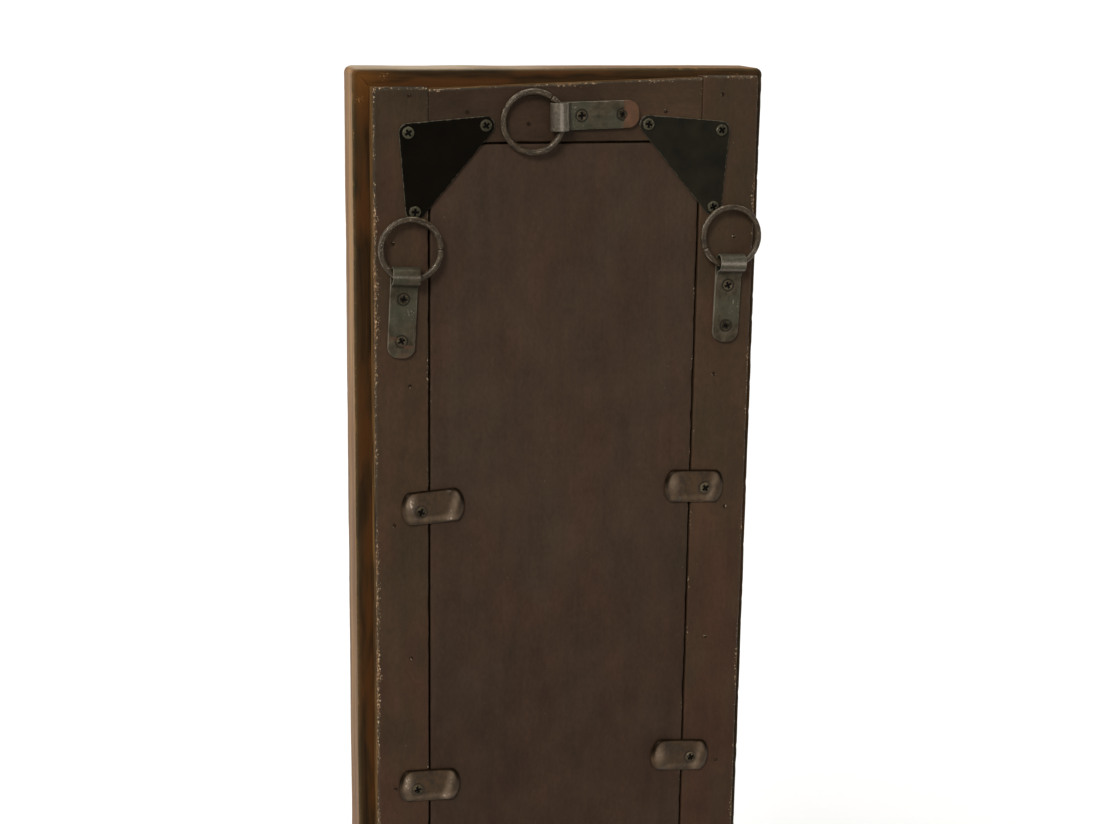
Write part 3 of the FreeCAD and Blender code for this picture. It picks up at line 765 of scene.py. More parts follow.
def screw_heads(name, places, radius, foot, dome, arm, depth, seed):
    """Heads on a disc grid: height = dome * (1 - r^2) plus a rolled rim, less the cross.

    The cross is the band |x| < arm / 4 or |y| < arm / 4 inside a square of half-side arm,
    with eased walls. foot is the head's lowest height over its place.
    """
    places = np.asarray(places, float)
    draw = np.random.default_rng(seed)
    turns = draw.uniform(0, np.pi, len(places))[:, None, None]
    ages = draw.uniform(0, 1, len(places))[:, None, None]
    share = np.concatenate([np.linspace(0.0, 0.9, HEAD_RINGS), [0.95, 0.985, 1.0]])[:, None]
    angle = np.linspace(0.0, 2 * np.pi, HEAD_COLUMNS + 1)[:-1][None, :]
    flat_u, flat_v = radius * share * np.cos(angle), radius * share * np.sin(angle)
    low, high = dome
    top = low + (high - low) * (1 - share ** 2) - low * RIM_DROP * smooth(0.86, 1.0, share)
    thin = 1 - smooth(arm * 0.20, arm * 0.34, np.minimum(abs(flat_u), abs(flat_v)))
    reach = 1 - smooth(arm * 0.8, arm, np.maximum(abs(flat_u), abs(flat_v)))
    recess = thin * reach
    top = top + 0 * angle - depth * recess
    rows_u, rows_v = (np.concatenate([v, v[-1:], 0 * v[:1]]) for v in (flat_u, flat_v))
    rows_h = np.concatenate([top, np.full_like(top[:2], foot)])
    x = places[:, 0, None, None] + rows_u * np.cos(turns) - rows_v * np.sin(turns)
    z = places[:, 2, None, None] + rows_u * np.sin(turns) + rows_v * np.cos(turns)
    y = places[:, 1, None, None] + rows_h + 0 * x
    mark = np.concatenate([recess, 0 * recess[:2]]) + 0 * x
    rim = np.concatenate([share + 0 * angle, np.ones_like(recess[:2])]) + 0 * x
    return skin(name, np.stack([x, y, z], axis=-1),
                {"recess": mark, "rim": rim, "age": ages + 0 * x})


plate_screw_places = [(side * hole[0], back_face + PLATE_THICK, origin + sense * hole[1])
                      for side, (origin, sense) in PLATE_PLACES.values() for hole in PLATE_HOLES]
plate_screws = screw_heads("corner_plate_screws", plate_screw_places, radius=4.3, foot=0.0,
                           dome=(1.1, 1.7), arm=2.7, depth=1.1, seed=5)
print("plate screws:", len(plate_screw_places))

# %% [markdown]
# The plate screws are dull zinc that has gone olive grey; the others were darkened with the
# straps. Both are the same idea: a dulled metal, a brighter rubbed rim, painted glints, and
# painted shade in the recess and round the foot of the head.

# %% Dulled screw steel


def screw_steel(name, body, pale, rough, metal):
    """Dulled steel: blotches between two greys, a rubbed rim, painted glints, and painted shade in
    the recess and at the head's edge and foot.
    """
    material, tree, shader, rim, age, recess = start(name, "rim", "age", "recess")
    blotch, glint = patterns(tree, add(tree, "TexCoord", {}), (2.8, 4, 0.6), (0.9, 2, 0.5), unit=MM)
    # The dark rim coat is painted shade where the head meets the surface, the glint coat is painted
    # glints, and the recess coat is painted shade in the cross.
    colour = coats(tree, body, (blotch, 0.36, 0.66, 1.0, pale), (rim, 0.7, 0.86, 0.6, pale),
                   (age, 0.0, 1.0, 0.65, body), (rim, 0.92, 0.99, 0.8, "#0b0905"),
                   (glint, 0.62, 0.70, 0.6, "#8d8371"), (recess, 0.0, 0.4, 1.0, "#070503"))
    bump = add(tree, "Bump", {"Strength": 0.3, "Distance": 0.0002, "Height": blotch})
    fill(tree, shader, {"Base Color": colour, "Normal": bump, "Metallic": metal, "Roughness": rough,
                        "Specular IOR Level": 0.05})
    return material


dull_zinc = screw_steel("dulled_zinc_plated_steel", "#28251b", "#4f4b3a", 0.5, 0.2)
dark_steel = screw_steel("oxidised_screw_steel", "#1b150c", "#564c3a", 0.45, 0.2)
settle(plate_screws, dull_zinc, "frame")

# %% [markdown]
# ## Hanger straps: shape
# A strap is one strip of sheet steel folded back on itself: up from its tail, round the ring
# in a raised loop and back underneath. So its middle line is drawn from straight runs and
# arcs, and a thin rounded rectangle is carried along it. The width draws in at the tail to
# give its round end, and the top leaf is pressed down about each screw.

# %% The strap's middle line
STRAP_LEAF = 1.3
STRAP_HALF = 9.7
STRAP_TAIL = 59.0
TAIL_ROUND = 8.0
hinges = {j["name"]: j for j in frame["joints"]}
EYE_HEIGHT = hinges["ring_left_swing"]["pos_m"][1] / MM - back_face
LOOP_ROUND = EYE_HEIGHT - STRAP_LEAF / 2
BEND_ROUND = 7.0
TOP_LEAF = 2.8 - STRAP_LEAF / 2
STRAP_SCREWS = (17.0, 47.0)
TAIL_STEPS, LEAF_STEPS, BEND_STEPS, LOOP_STEPS = 14, 52, 9, 36
RUBBED_AND_LIT_AT, RUBBED_AND_LIT_WIDE = (88.0, 138.0), 9.0


def strap_line():
    """The fold as points (along, up): top leaf, S-bend, loop and underside, of runs and arcs.

    Rows at two angles round the loop are marked as well, for lacquer rubbed bare and for painted
    highlight.
    """
    bend_up = TOP_LEAF + BEND_ROUND
    bend_along = -np.sqrt((BEND_ROUND + LOOP_ROUND) ** 2 - (EYE_HEIGHT - bend_up) ** 2)
    tail = TAIL_ROUND * (1 - np.cos(np.linspace(0, np.pi / 2, TAIL_STEPS)))
    flat = np.linspace(TAIL_ROUND - STRAP_TAIL, bend_along, LEAF_STEPS)
    leaf = np.concatenate([tail - STRAP_TAIL, flat[1:]])
    tilted = np.arctan2(EYE_HEIGHT - bend_up, -bend_along)
    rising = np.linspace(-np.pi / 2, tilted, BEND_STEPS)[1:]
    joined = np.arctan2(bend_up - EYE_HEIGHT, bend_along) % (2 * np.pi)
    over = np.linspace(joined, -np.pi / 2, LOOP_STEPS)[1:]
    runs = [(leaf, TOP_LEAF + 0 * leaf),
            (bend_along + BEND_ROUND * np.cos(rising), bend_up + BEND_ROUND * np.sin(rising)),
            (LOOP_ROUND * np.cos(over), EYE_HEIGHT + LOOP_ROUND * np.sin(over)),
            (leaf[::-1], STRAP_LEAF / 2 + 0 * leaf)]
    # These pale lines on the loop are partly worn lacquer and partly painted highlight.
    rubbed = sum(np.exp(-((np.degrees(over) - at) / RUBBED_AND_LIT_WIDE) ** 2) for at in RUBBED_AND_LIT_AT)
    fold = np.concatenate([0 * leaf, 0.4 + 0 * rising, 0.55 + rubbed, 0 * leaf])
    along, up = np.concatenate(runs, axis=1)
    return along, up, fold, leaf.size


# %% A strap carried along it
STRAP_WALK = (30, 2)
STRAP_ROLL = 0.42
STRAP_RUB = 0.8
DIMPLE_FLAT, DIMPLE_RIM, DIMPLE_DEEP = 4.1, 5.6, 0.55
OUT = np.array([0.0, 1.0, 0.0])
HANGERS = ("left", "right", "top", "bottom")
PAINT_REACH = {"left": 15.0, "right": 0.0, "top": 11.2, "bottom": 7.0}
PAINT_COVER = {"left": 0.5, "right": 0.0, "top": 1.0, "bottom": 0.9}
FOLD_WEAR_AND_LIGHT = {"left": 0.45, "right": 0.8, "top": 1.0, "bottom": 0.7}


def hanger_axes(name):
    """The hinge's place in mm, the way the ring points and the way across, from the joint."""
    hinge = hinges["ring_" + name + "_swing"]
    across = -np.array(hinge["axis"])
    return np.array(hinge["pos_m"]) / MM, np.array([-across[2], 0.0, across[0]]), across


def strap(name, seed):
    """A rounded strip on the middle line: point = line + across * width + normal * thickness."""
    along, up, fold, leaf_rows = strap_line()
    step = np.stack([np.gradient(along), np.gradient(up)], axis=-1)
    step /= np.linalg.norm(step, axis=1, keepdims=True)
    from_tail = np.minimum(along + STRAP_TAIL, TAIL_ROUND)
    half = STRAP_HALF - TAIL_ROUND + np.sqrt(TAIL_ROUND ** 2 - (TAIL_ROUND - from_tail) ** 2)
    share_a, share_t, lean_a, lean_t = batten_walk(*STRAP_WALK)[:, None, :]
    wide = (half[:, None] - STRAP_ROLL) * (2 * share_a - 1) + lean_a * STRAP_ROLL
    thick = (STRAP_LEAF / 2 - STRAP_ROLL) * (2 * share_t - 1) + lean_t * STRAP_ROLL
    thick = thick + 0 * wide
    upper = share_t > 0.5
    top_leaf = (np.arange(along.size) < leaf_rows)[:, None] * upper
    on = along[:, None] + 0 * wide
    pressed = top_leaf * sum(1 - smooth(DIMPLE_FLAT, DIMPLE_RIM, np.hypot(wide, on + place))
                             for place in STRAP_SCREWS)
    thick = thick - DIMPLE_DEEP * pressed + 0.05 * rolling(wide, on, 6, 9, seed) * upper
    run = along[:, None] - step[:, 1:] * thick
    rise = up[:, None] + step[:, :1] * thick
    edge = np.exp(-np.maximum(half[:, None] - abs(wide), 0) / STRAP_RUB)
    cover = PAINT_COVER[name]
    brushed = on + STRAP_TAIL + 1.1 * rolling(wide, on, 3.5, 5.0, seed + 7)
    patchy = smooth(-0.35, 0.15, rolling(wide, on, 4.0, 3.0, seed + 8) + 2 * cover - 1.2)
    tail = cover * patchy * (1 - smooth(-0.5, 0.5, brushed - PAINT_REACH[name])) * top_leaf
    fold = FOLD_WEAR_AND_LIGHT[name] * fold[:, None] * upper
    wide, run, rise, edge, tail, pressed, fold = (
        capped(v) for v in (wide, run, rise, edge, tail, pressed, fold))
    place, ahead, across = hanger_axes(name)
    foot = np.array([place[0], back_face, place[2]])
    points = foot + wide[..., None] * across + run[..., None] * ahead + rise[..., None] * OUT
    grain = np.stack([wide, run, rise + 40.0 * seed], axis=-1)
    return skin("hanger_strap_" + name, points,
                {"edge": edge, "tail": tail, "pressed": pressed, "fold": fold, "grain": grain})


straps = {name: strap(name, 400 + k) for k, name in enumerate(HANGERS)}
print("straps:", list(straps))

# %% [markdown]
# ## Hanger straps: finish
# Sheet steel under a thin olive-grey lacquer. It has a dull metal sheen with long rubbed
# marks, bright worn metal along its edges, pale lines over the loop that are partly worn
# metal and partly painted highlight, a darker tone in the pressed dimples about the screws,
# and a lick of the frame's brown paint over its tail.

# %% Olive lacquered strap steel
strap_steel, tree, shader, grain, edge, fold, pressed, tail = start(
    "olive_lacquered_strap_steel", "grain", "edge", "fold", "pressed", "tail")
blotch, tint, rubs, fleck = patterns(
    tree, grain, ((7, 9, 9), 5, 0.62), ((24, 19, 19), 2, 0.5), ((1.1, 16, 16), 3, 0.6),
    ((1.3, 1.6, 1.6), 3, 0.7))
knocked = add(tree, "Math", {0: edge, 1: blotch}, operation="ADD")
# Pale lines over the loop: partly worn metal, partly painted highlight.
polished_and_lit = add(tree, "Math", {0: fold, 1: fleck}, operation="MULTIPLY")
scraped = add(tree, "Math", {0: tint, 1: fleck}, operation="MULTIPLY")
colour = coats(tree, "#2b251a", (blotch, 0.34, 0.68, 1.0, "#4b4234"),
               (tint, 0.42, 0.58, 0.6, "#3b3c2f"), (rubs, 0.56, 0.74, 0.18, "#5c5648"),
               (knocked, 1.12, 1.45, 0.75, "#756e5f"), (polished_and_lit, 0.18, 0.6, 0.85, "#80756a"),
               (scraped, 0.385, 0.43, 0.6, "#857a68"))
# The strap is made darker in the pressed dimples round the screws.
dimple_dark = add(tree, "MapRange", {0: pressed, 1: 0.15, 2: 0.9, 4: 0.85})
lick = coats(tree, "#543a2a", (blotch, 0.34, 0.68, 1.0, "#463324"))
for share, cover in ((dimple_dark, "#14110b"), (tail, lick)):
    colour = add(tree, "Mix", {0: share, 6: colour, 7: cover}, data_type="RGBA")
dirty = add(tree, "Math", {0: tail, 1: dimple_dark}, operation="MAXIMUM")
metal = add(tree, "MapRange", {0: dirty, 3: 0.4, 4: 0.0})
rough = add(tree, "MapRange", {0: rubs, 1: 0.3, 2: 0.7, 3: 0.5, 4: 0.36})
height = add(tree, "Math", {0: rubs, 1: 0.5, 2: blotch}, operation="MULTIPLY_ADD")
bump = add(tree, "Bump", {"Strength": 0.3, "Distance": 0.0003, "Height": height})
fill(tree, shader, {"Base Color": colour, "Metallic": metal, "Roughness": rough, "Normal": bump,
                    "Specular IOR Level": 0.08})
for piece in straps.values():
    settle(piece, strap_steel, "frame")

# %% Strap screws
strap_screw_places = []
for name in HANGERS:
    place, ahead, _ = hanger_axes(name)
    for along in STRAP_SCREWS:
        x, _, z = place - along * ahead
        strap_screw_places.append((x, back_face, z))
hanger_screws = screw_heads("hanger_screws", strap_screw_places, radius=4.0, foot=1.2,
                            dome=(2.35, 2.75), arm=2.9, depth=0.4, seed=6)
settle(hanger_screws, dark_steel, "frame")

# %% [markdown]
# ## Rings
# A ring is round wire bent to a circle, with its two ends butted. A perfect torus would
# look like plastic, so the wire's thickness and the circle wander a little, as wire does
# when it is wound on a bar, and the butted ends are real: the tube stops at both and closes.

# %% Wire bent to a ring
RING_ROUND = 21.0
WIRE = 2.25
RING_SLIP = {"left": -2.8, "right": 1.3, "top": 3.0, "bottom": 3.0}
RING_REST = {"left": 5.45, "right": 5.45, "top": 2.55, "bottom": 2.55}
RING_JOINT = {"left": 178.0, "right": 335.0, "top": 218.0, "bottom": 330.0}
RING_OPEN = 0.75
RING_STEPS, WIRE_STEPS = 260, 26
WIRE_THIN, RING_WANDER = 0.035, 0.12
END_ROUND = 0.86


def ring(name, seed):
    """A tube on a circle.

    Point = centre + (round + wire cos t)(across cos a + ahead sin a) + wire sin t * normal.
    The wire's bow inside the eye, on a ring that has slipped sideways, is halved about the hinge
    line, and the ring leans until its far side rests. It starts and ends at the butted joint.
    """
    place, ahead, across = hanger_axes(name)
    inside = np.sqrt((RING_ROUND - WIRE) ** 2 - (STRAP_HALF + abs(RING_SLIP[name])) ** 2)
    from_hinge = (RING_ROUND + WIRE + inside) / 2
    tilt = np.arcsin((EYE_HEIGHT - RING_REST[name]) / (from_hinge + RING_ROUND))
    ahead = np.cos(tilt) * ahead - np.sin(tilt) * OUT
    normal = np.cross(ahead, across)
    turned = np.linspace(RING_OPEN, 360.0 - RING_OPEN, RING_STEPS)
    angle = np.radians(RING_JOINT[name] + turned)[:, None]
    around = np.linspace(0.0, 2 * np.pi, WIRE_STEPS + 1)[:-1][None, :]
    arc = angle * RING_ROUND
    wire = WIRE * (1 - WIRE_THIN * (1 + rolling(arc, around * WIRE, 5.0, 2.4, seed)) / 2)
    last = np.minimum(np.arange(RING_STEPS), np.arange(RING_STEPS)[::-1])[:, None]
    wire = wire * np.where(last == 0, 0.0, np.where(last == 1, END_ROUND, 1.0))
    bent = RING_ROUND + RING_WANDER * wander(arc, 21.0, seed + 1) * smooth(0, 9, last)
    point = place + ahead * from_hinge + across * RING_SLIP[name]
    plane = across * np.cos(angle)[..., None] + ahead * np.sin(angle)[..., None]
    points = (point + (bent + wire * np.cos(around))[..., None] * plane
              + (wire * np.sin(around))[..., None] * normal)
    grain = np.stack([arc + 0 * wire, WIRE * around + 0 * wire, 50.0 * seed + 0 * wire], axis=-1)
    # Two pale lines sit where highlights fall on the wire, so they are partly wear and partly
    # painted highlight; the butted ends are worn pale.
    outward = (np.pi / 2 - around * np.sign(normal[1]) + np.pi) % (2 * np.pi) - np.pi
    upper_line = np.exp(-((outward - 0.95) / 0.3) ** 2)
    outer_line = 0.9 * np.exp(-((outward + 0.2) / 0.24) ** 2)
    crest = np.maximum(upper_line + outer_line + 0 * wire, 1.1 * np.exp(-(last / 2.2) ** 2))
    return skin("hanger_ring_" + name, points, {"grain": grain, "crest": crest})


rings = {name: ring(name, 500 + k) for k, name in enumerate(HANGERS)}
for name in HANGERS:
    low, high = box_mm("hanger_ring_" + name)
    made = np.array([v.co for v in rings[name].data.vertices]) / MM
    beyond = np.maximum(low - made.min(0), made.max(0) - high)
    print(name, "ring leaves its CAD box by", np.round(beyond, 2))

# %% [markdown]
# The rings had the same brown-grey lacquer as the buttons. Pale broken lines run along the
# wire where highlights fall, partly steel rubbed bare by handling and partly painted highlight,
# and the sides stay dark.

# %% Brown-grey lacquered wire
ring_steel, tree, shader, grain, crest = start("brown_lacquered_steel_wire", "grain", "crest")
blotch, rubs, spot = patterns(
    tree, grain, ((6, 2.5, 2.5), 5, 0.62), ((6, 0.8, 0.8), 4, 0.65), ((1.1, 0.9, 0.9), 2, 0.6))
# Pale lines: partly rubbed steel, partly painted highlight.
handled = add(tree, "Math", {0: rubs, 1: crest}, operation="MULTIPLY")
colour = coats(tree, "#1e160c", (blotch, 0.34, 0.66, 1.0, "#413423"),
               (handled, 0.40, 0.58, 0.9, "#a3967f"), (spot, 0.66, 0.72, 0.8, "#b5aa98"))
rough = add(tree, "MapRange", {0: rubs, 1: 0.3, 2: 0.7, 3: 0.46, 4: 0.36})
height = add(tree, "Math", {0: rubs, 1: 0.5, 2: blotch}, operation="MULTIPLY_ADD")
bump = add(tree, "Bump", {"Strength": 0.4, "Distance": 0.0003, "Height": height})
fill(tree, shader, {"Base Color": colour, "Roughness": rough, "Normal": bump, "Metallic": 0.25,
                    "Specular IOR Level": 0.25})
for name, piece in rings.items():
    settle(piece, ring_steel, "ring_" + name)

# %% [markdown]
# ## Turn buttons: shape
# A turn button is a little pressed pillow of sheet steel on one screw; turned aside, it lets
# the board out. Its outline is a rounded oblong. The height falls from the crown to the rim as
# a steep curve of the distance from the middle, and a cup is pressed in where the screw sits.
# The edge has the thickness of the sheet, and small dents make it look hammered by the press.

# %% A pressed pillow on a screw
BUTTON_LONG = 46.0
BUTTON_HALF = 12.5
BUTTON_ROUND = 7.0
PIVOT_FROM_END = 14.0
CUP_RIM = 7.2
CUP_FLOOR = 3.4
CUP_DEEP = 0.7
VALLEY_DEEP = 2.6
BUTTON_TURNS = {"left": (3.6, -2.0, 2.5, -1.5), "right": (177.0, 175.0, 181.5, 182.0)}
PIVOT_ASIDE = {"left": -3.0, "right": 1.5}
BUTTON_WEAR = {"left": 1.0, "right": 0.68}
OUTLINE_STEPS, PILLOW_STEPS = 150, 46
SHEET = 0.75
UNDER_RIM, UNDER_DROP = 0.94, -0.12
RIM_STEP = 0.26


def button(side, row, seed):
    """Rows shrink the outline to its middle; height = crown (1 - s^4)^(1/2), less valley and cup.

    s is the share of the way from the middle to the rim. The valley lies across the middle, so both
    ends stand up as soft humps, and the cup is pressed in at the pivot. The outline is two straight
    sides with half ellipses for ends. The button's long arm points to the mirror's middle.
    """
    name = f"turn_button_{side}_{row + 1}"
    pivot = np.array(hinges[f"button_{side}_{row + 1}_turn"]["pos_m"]) / MM
    (_, low, _), (_, high, _) = box_mm(name)
    middle = BUTTON_LONG / 2 - PIVOT_FROM_END
    straight = BUTTON_LONG / 2 - BUTTON_ROUND
    outline = banded(np.array([[-straight, 0.0], [straight, 0.0]]), BUTTON_HALF, OUTLINE_STEPS)
    held = np.clip(outline[:, 0], -straight, straight)
    outline[:, 0] = held + (outline[:, 0] - held) * BUTTON_ROUND / BUTTON_HALF
    share = np.concatenate([[0.0, UNDER_RIM], np.sin(np.linspace(np.pi / 2, 0.0, PILLOW_STEPS))])
    flat = share[:, None, None] * outline
    crown = np.maximum(1 - share ** 4.0, 0.0) ** 0.5
    crown[:2] = UNDER_DROP
    along, across = flat[..., 0] + middle, flat[..., 1] + PIVOT_ASIDE[side]
    rise = low + SHEET + (high - low - SHEET) * crown[:, None] + 0 * along
    rise[:2] = low
    cup = 1 - smooth(CUP_FLOOR, CUP_RIM, np.hypot(along, across))
    dents = 0.16 * rolling(along, across, 5.5, 5.0, seed)
    dents = dents + 0.10 * rolling(along, across, 2.2, 2.2, seed + 1)
    dents = dents * smooth(1.0, 0.7, share)[:, None]
    sunk = CUP_DEEP * cup - dents + RIM_STEP * (share < 1)[:, None]
    rise = rise - sunk * (np.arange(share.size) > 1)[:, None]
    end = abs(flat[..., 0] / (BUTTON_LONG / 2) + 0.05)
    valley = VALLEY_DEEP * (1 - smooth(0.30, 0.80, end)) * crown.clip(0)[:, None]
    rise = np.maximum(rise - valley, low)
    turn = np.radians(BUTTON_TURNS[side][row]) + np.pi
    x = pivot[0] + along * np.cos(turn) + across * np.sin(turn)
    z = pivot[2] - along * np.sin(turn) + across * np.cos(turn)
    # The ends are made paler: partly rubbed lacquer and partly painted highlight where light falls
    # on them.
    lit, up = (x - x.mean()) / (BUTTON_LONG / 2), (z - z.mean()) / BUTTON_HALF
    lit_end = np.exp(-((lit - 0.74) / 0.17) ** 2 - ((up - 0.25) / 0.6) ** 2)
    far_end = 0.6 * np.exp(-((lit + 0.64 + 0.15 * up) / 0.13) ** 2)
    lower_side = 0.3 * np.exp(-((up + 0.7) / 0.2) ** 2)
    inside = (1 - smooth(0.84, 0.97, share))[:, None]
    hump = BUTTON_WEAR[side] * (lit_end + far_end + lower_side) * inside
    # Painted shade: the upper rim is darkened.
    brow = smooth(0.84, 0.94, share)[:, None] * smooth(-0.2, 0.5, up)
    grain = np.stack([along, across, 60.0 * seed + 0 * along], axis=-1)
    return skin(name, np.stack([x, rise, z], axis=-1),
                {"hump": hump, "brow": brow, "cup": cup, "grain": grain})


buttons = {}
for side in ("left", "right"):
    for row in range(4):
        buttons[f"button_{side}_{row + 1}"] = button(side, row, 600 + 10 * row + (side == "right"))
print("buttons:", len(buttons))

# %% [markdown]
# Pressed steel under brown-grey lacquer, rubbed through at the ends where fingers turn it.
# Both ends show pale speckled metal, which is partly that wear and partly painted highlight.
# The upper rim carries painted shade, and the cup is painted darker as shade.

# %% Brown lacquered pressed steel
button_steel, tree, shader, grain, cup, hump, brow = start(
    "brown_lacquered_pressed_steel", "grain", "cup", "hump", "brow")
blotch, fleck = patterns(tree, grain, ((6, 8, 8), 5, 0.62), ((1.6, 1.6, 1.6), 3, 0.6))
# Pale ends: partly rubbed lacquer, partly painted highlight.
thumbed_and_lit = add(tree, "Math", {0: hump, 1: blotch}, operation="MULTIPLY")
handled = add(tree, "Math", {0: hump, 1: 0.32, 2: fleck}, operation="MULTIPLY_ADD")
# The cup and the upper rim are painted darker: painted shade.
colour = coats(tree, "#24180a", (blotch, 0.34, 0.68, 1.0, "#3c2a15"),
               (thumbed_and_lit, 0.02, 0.62, 0.9, "#756350"), (handled, 0.80, 0.92, 0.85, "#b3a08e"),
               (cup, 0.2, 1.0, 0.6, "#150d05"),
               (brow, 0.0, 1.0, 0.85, "#0c0804"))
rough = add(tree, "MapRange", {0: fleck, 1: 0.3, 2: 0.7, 3: 0.38, 4: 0.26})
height = add(tree, "Math", {0: fleck, 1: 0.4, 2: blotch}, operation="MULTIPLY_ADD")
bump = add(tree, "Bump", {"Strength": 0.35, "Distance": 0.0003, "Height": height})
sheen = add(tree, "MapRange", {0: brow, 3: 0.22, 4: 0.02})
fill(tree, shader, {"Base Color": colour, "Roughness": rough, "Normal": bump, "Metallic": 0.2,
                    "Specular IOR Level": sheen})
for body, piece in buttons.items():
    settle(piece, button_steel, body)

# %% Button screws
button_screw_places = [np.array(hinges[f"button_{side}_{row}_turn"]["pos_m"]) / MM
                       for side in ("left", "right") for row in (1, 2, 3, 4)]
button_top = box_mm("turn_button_left_1")[1][1] - back_face
cup_floor = button_top - CUP_DEEP - VALLEY_DEEP
button_screws = screw_heads("button_screws", button_screw_places, radius=4.3, foot=cup_floor - 0.9,
                            dome=(cup_floor + 0.6, cup_floor + 1.5), arm=2.7, depth=1.0, seed=7)
settle(button_screws, dark_steel, "frame")

# %% [markdown]
# ## What stays as CAD: glass, card and brads
# The glass, the card behind it and the flush brad heads are right as solids, so they only
# get finishes. The glass is silvered float glass: a mirror with a faint green cast and a
# thin, uneven haze. The card is plain grey-brown pulp board, and the brads are steel heads
# painted over with the frame, with pale flecks where the paint has come off.

# %% Silvered glass, card and brad heads


def dress(node, finish):
    """A CAD node takes a finish in place of its plain one."""
    mesh = frame["nodes"][node].data
    mesh.materials.clear()
    mesh.materials.append(finish)


silvered, tree, shader = start("silvered_float_glass")
haze, = patterns(tree, add(tree, "TexCoord", {}), (90, 3, 0.5), unit=MM)
veil = add(tree, "MapRange", {0: haze, 1: 0.3, 2: 0.8, 3: 0.012, 4: 0.03})
fill(tree, shader, {"Base Color": "#e9efec", "Metallic": 1.0, "Roughness": veil})
dress("mirror_glass", silvered)

pulp, tree, shader = start("grey_pulp_card")
fibre, = patterns(tree, add(tree, "TexCoord", {}), (4, 5, 0.7), unit=MM)
colour = add(tree, "Mix", {0: fibre, 6: "#7d6a52", 7: "#a08c70"}, data_type="RGBA")
fill(tree, shader, {"Base Color": colour, "Roughness": 0.9})
dress("card_sheet", pulp)

brad_steel, tree, shader = start("painted_over_brad_steel")
scale, = patterns(tree, add(tree, "TexCoord", {}), (1.6, 4, 0.65), unit=MM)
colour = coats(tree, "#21160d", (scale, 0.56, 0.64, 1.0, "#8a7a63"))
bump = add(tree, "Bump", {"Strength": 0.4, "Distance": 0.0003, "Height": scale})
fill(tree, shader, {"Base Color": colour, "Normal": bump, "Roughness": 0.8,
                    "Specular IOR Level": 0.05})
dress("frame_brads", brad_steel)
print("CAD nodes kept: mirror_glass, card_sheet, frame_brads")

# %% [markdown]
# ## Studio
# The photograph is a cut-out on white. A wide pale floor under an even sky comes close to
# that. One soft light falls from the upper left, because the rings' shadows lie to their
# right and below. A softbox far to the left draws the highlights on the buttons, a weak one
# fills from the right, and a light from above whitens the floor. The floor is left out of the
# bounced light, since it would light the hardware from below, where the photograph is dark.
# The lights are hidden from the camera.

# %% The floor
FLOOR_HALF = 600.0
corner = np.array([[-1, -1, 0], [1, -1, 0], [1, 1, 0], [-1, 1, 0]]) * FLOOR_HALF
floor_mesh = bpy.data.meshes.new("floor")
floor_mesh.from_pydata(corner.tolist(), [], [(0, 1, 2, 3)])
floor = bpy.data.objects.new("floor", floor_mesh)
bpy.context.collection.objects.link(floor)
pale, tree, shader = start("pale_studio_floor")
drift, = patterns(tree, add(tree, "TexCoord", {}), (800, 2, 0.5), unit=MM)
colour = add(tree, "Mix", {0: drift, 6: "#efeeec", 7: "#f4f3f1"}, data_type="RGBA")
fill(tree, shader, {"Base Color": colour, "Roughness": 0.9, "Specular IOR Level": 0.1})
floor_mesh.materials.append(pale)
floor.visible_diffuse = False
print("floor:", 2 * FLOOR_HALF, "m wide")

# %% The sky
SKY = 0.38
HORIZON = 1.0
BELOW = 0.3
world = bpy.data.worlds.new("studio_sky")
bpy.context.scene.world = world
world.use_nodes = True
tree = world.node_tree
rising = add(tree, "SeparateXYZ", {0: add(tree, "TexCoord", {}).outputs["Generated"]})
aloft = add(tree, "MapRange", {0: rising, 1: 0.16, 2: 0.30, 3: HORIZON, 4: SKY},
            interpolation_type="SMOOTHSTEP")
bright = add(tree, "MapRange", {0: rising, 1: -0.04, 2: -0.01, 3: BELOW, 4: aloft})
fill(tree, tree.nodes["Background"], {"Strength": bright, "Color": "#ffffff"})


# %% The lights
WINDOW = 2.7
OVERHEAD = 1.2
AIM = (0, 0, 900)
SOFT_AIM = (0, 0, 1000)


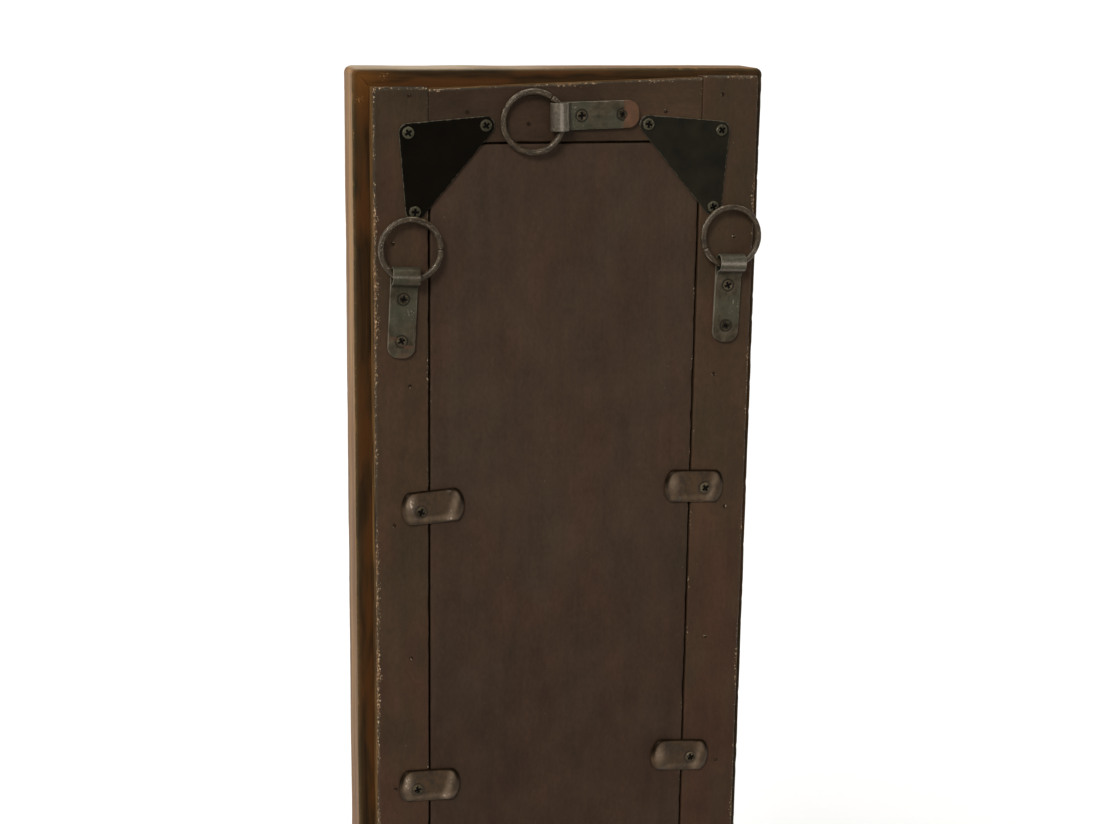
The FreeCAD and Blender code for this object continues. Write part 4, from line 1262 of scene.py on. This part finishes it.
def seat(name, data, right, up, back, place):
    """A lamp or camera at a place in mm, with its own axes: right, up and backwards."""
    holder = bpy.data.objects.new(name, data)
    bpy.context.collection.objects.link(holder)
    axes = np.column_stack([right, up, back, np.array(place) * MM])
    holder.matrix_world = Matrix(np.vstack([axes, [0, 0, 0, 1]]).tolist())
    return holder


def aimed(name, lamp, place, aim):
    """A lamp at place that faces aim, both in mm, and that the camera doesn't see."""
    back = np.array(place, float) - np.array(aim, float)
    back /= np.linalg.norm(back)
    right = np.cross([0.0, 0.0, 1.0], back)
    right /= np.linalg.norm(right)
    seat(name, lamp, right, np.cross(back, right), back, place).visible_camera = False


for name, strength, spread, place in (("left_window", WINDOW, 20, (1400, 2000, 2500)),
                                      ("overhead", OVERHEAD, 40, (0, 300, 3900))):
    sun = bpy.data.lights.new(name, "SUN")
    sun.energy, sun.angle = strength, np.radians(spread)
    aimed(name, sun, place, AIM)
for name, place, wide, watts in (("left_softbox", (2300, 900, 1900), (0.7, 0.9), 12.0),
                                 ("right_fill", (-2200, 2200, 1700), (1.6, 2.0), 6.0)):
    softbox = bpy.data.lights.new(name, "AREA")
    softbox.shape = "RECTANGLE"
    softbox.size, softbox.size_y, softbox.energy = *wide, watts
    aimed(name, softbox, place, SOFT_AIM)
print("studio ready")

# %% [markdown]
# ## Camera
# The camera's place was worked out from the photograph: the edges of the rear frame, the
# plates and the moulding fix where the eye was, which way it looked and how long the lens
# was. The picture leans by less than a degree, so the camera's own axes are given directly.

# %% The photograph's eye
EYE = np.array([353.433, 1361.232, 1331.722])
EYE_RIGHT = np.array([-0.96866049, 0.24804022, 0.01314938])
EYE_UP = np.array([-0.04358748, -0.22186052, 0.97410371])
PICTURE_WIDE = 1100
FOCUS_PIXELS = 1936.71
SENSOR = 36.0
lens = bpy.data.cameras.new("photograph")
lens.sensor_fit = "HORIZONTAL"
lens.sensor_width = SENSOR
lens.lens = SENSOR * FOCUS_PIXELS / PICTURE_WIDE
lens.clip_end = 2000.0
eye = seat("photograph", lens, EYE_RIGHT, EYE_UP, np.cross(EYE_RIGHT, EYE_UP), EYE)
bpy.context.scene.camera = eye
bpy.context.scene.view_settings.view_transform = "Standard"
print("lens", round(lens.lens, 2), "mm")
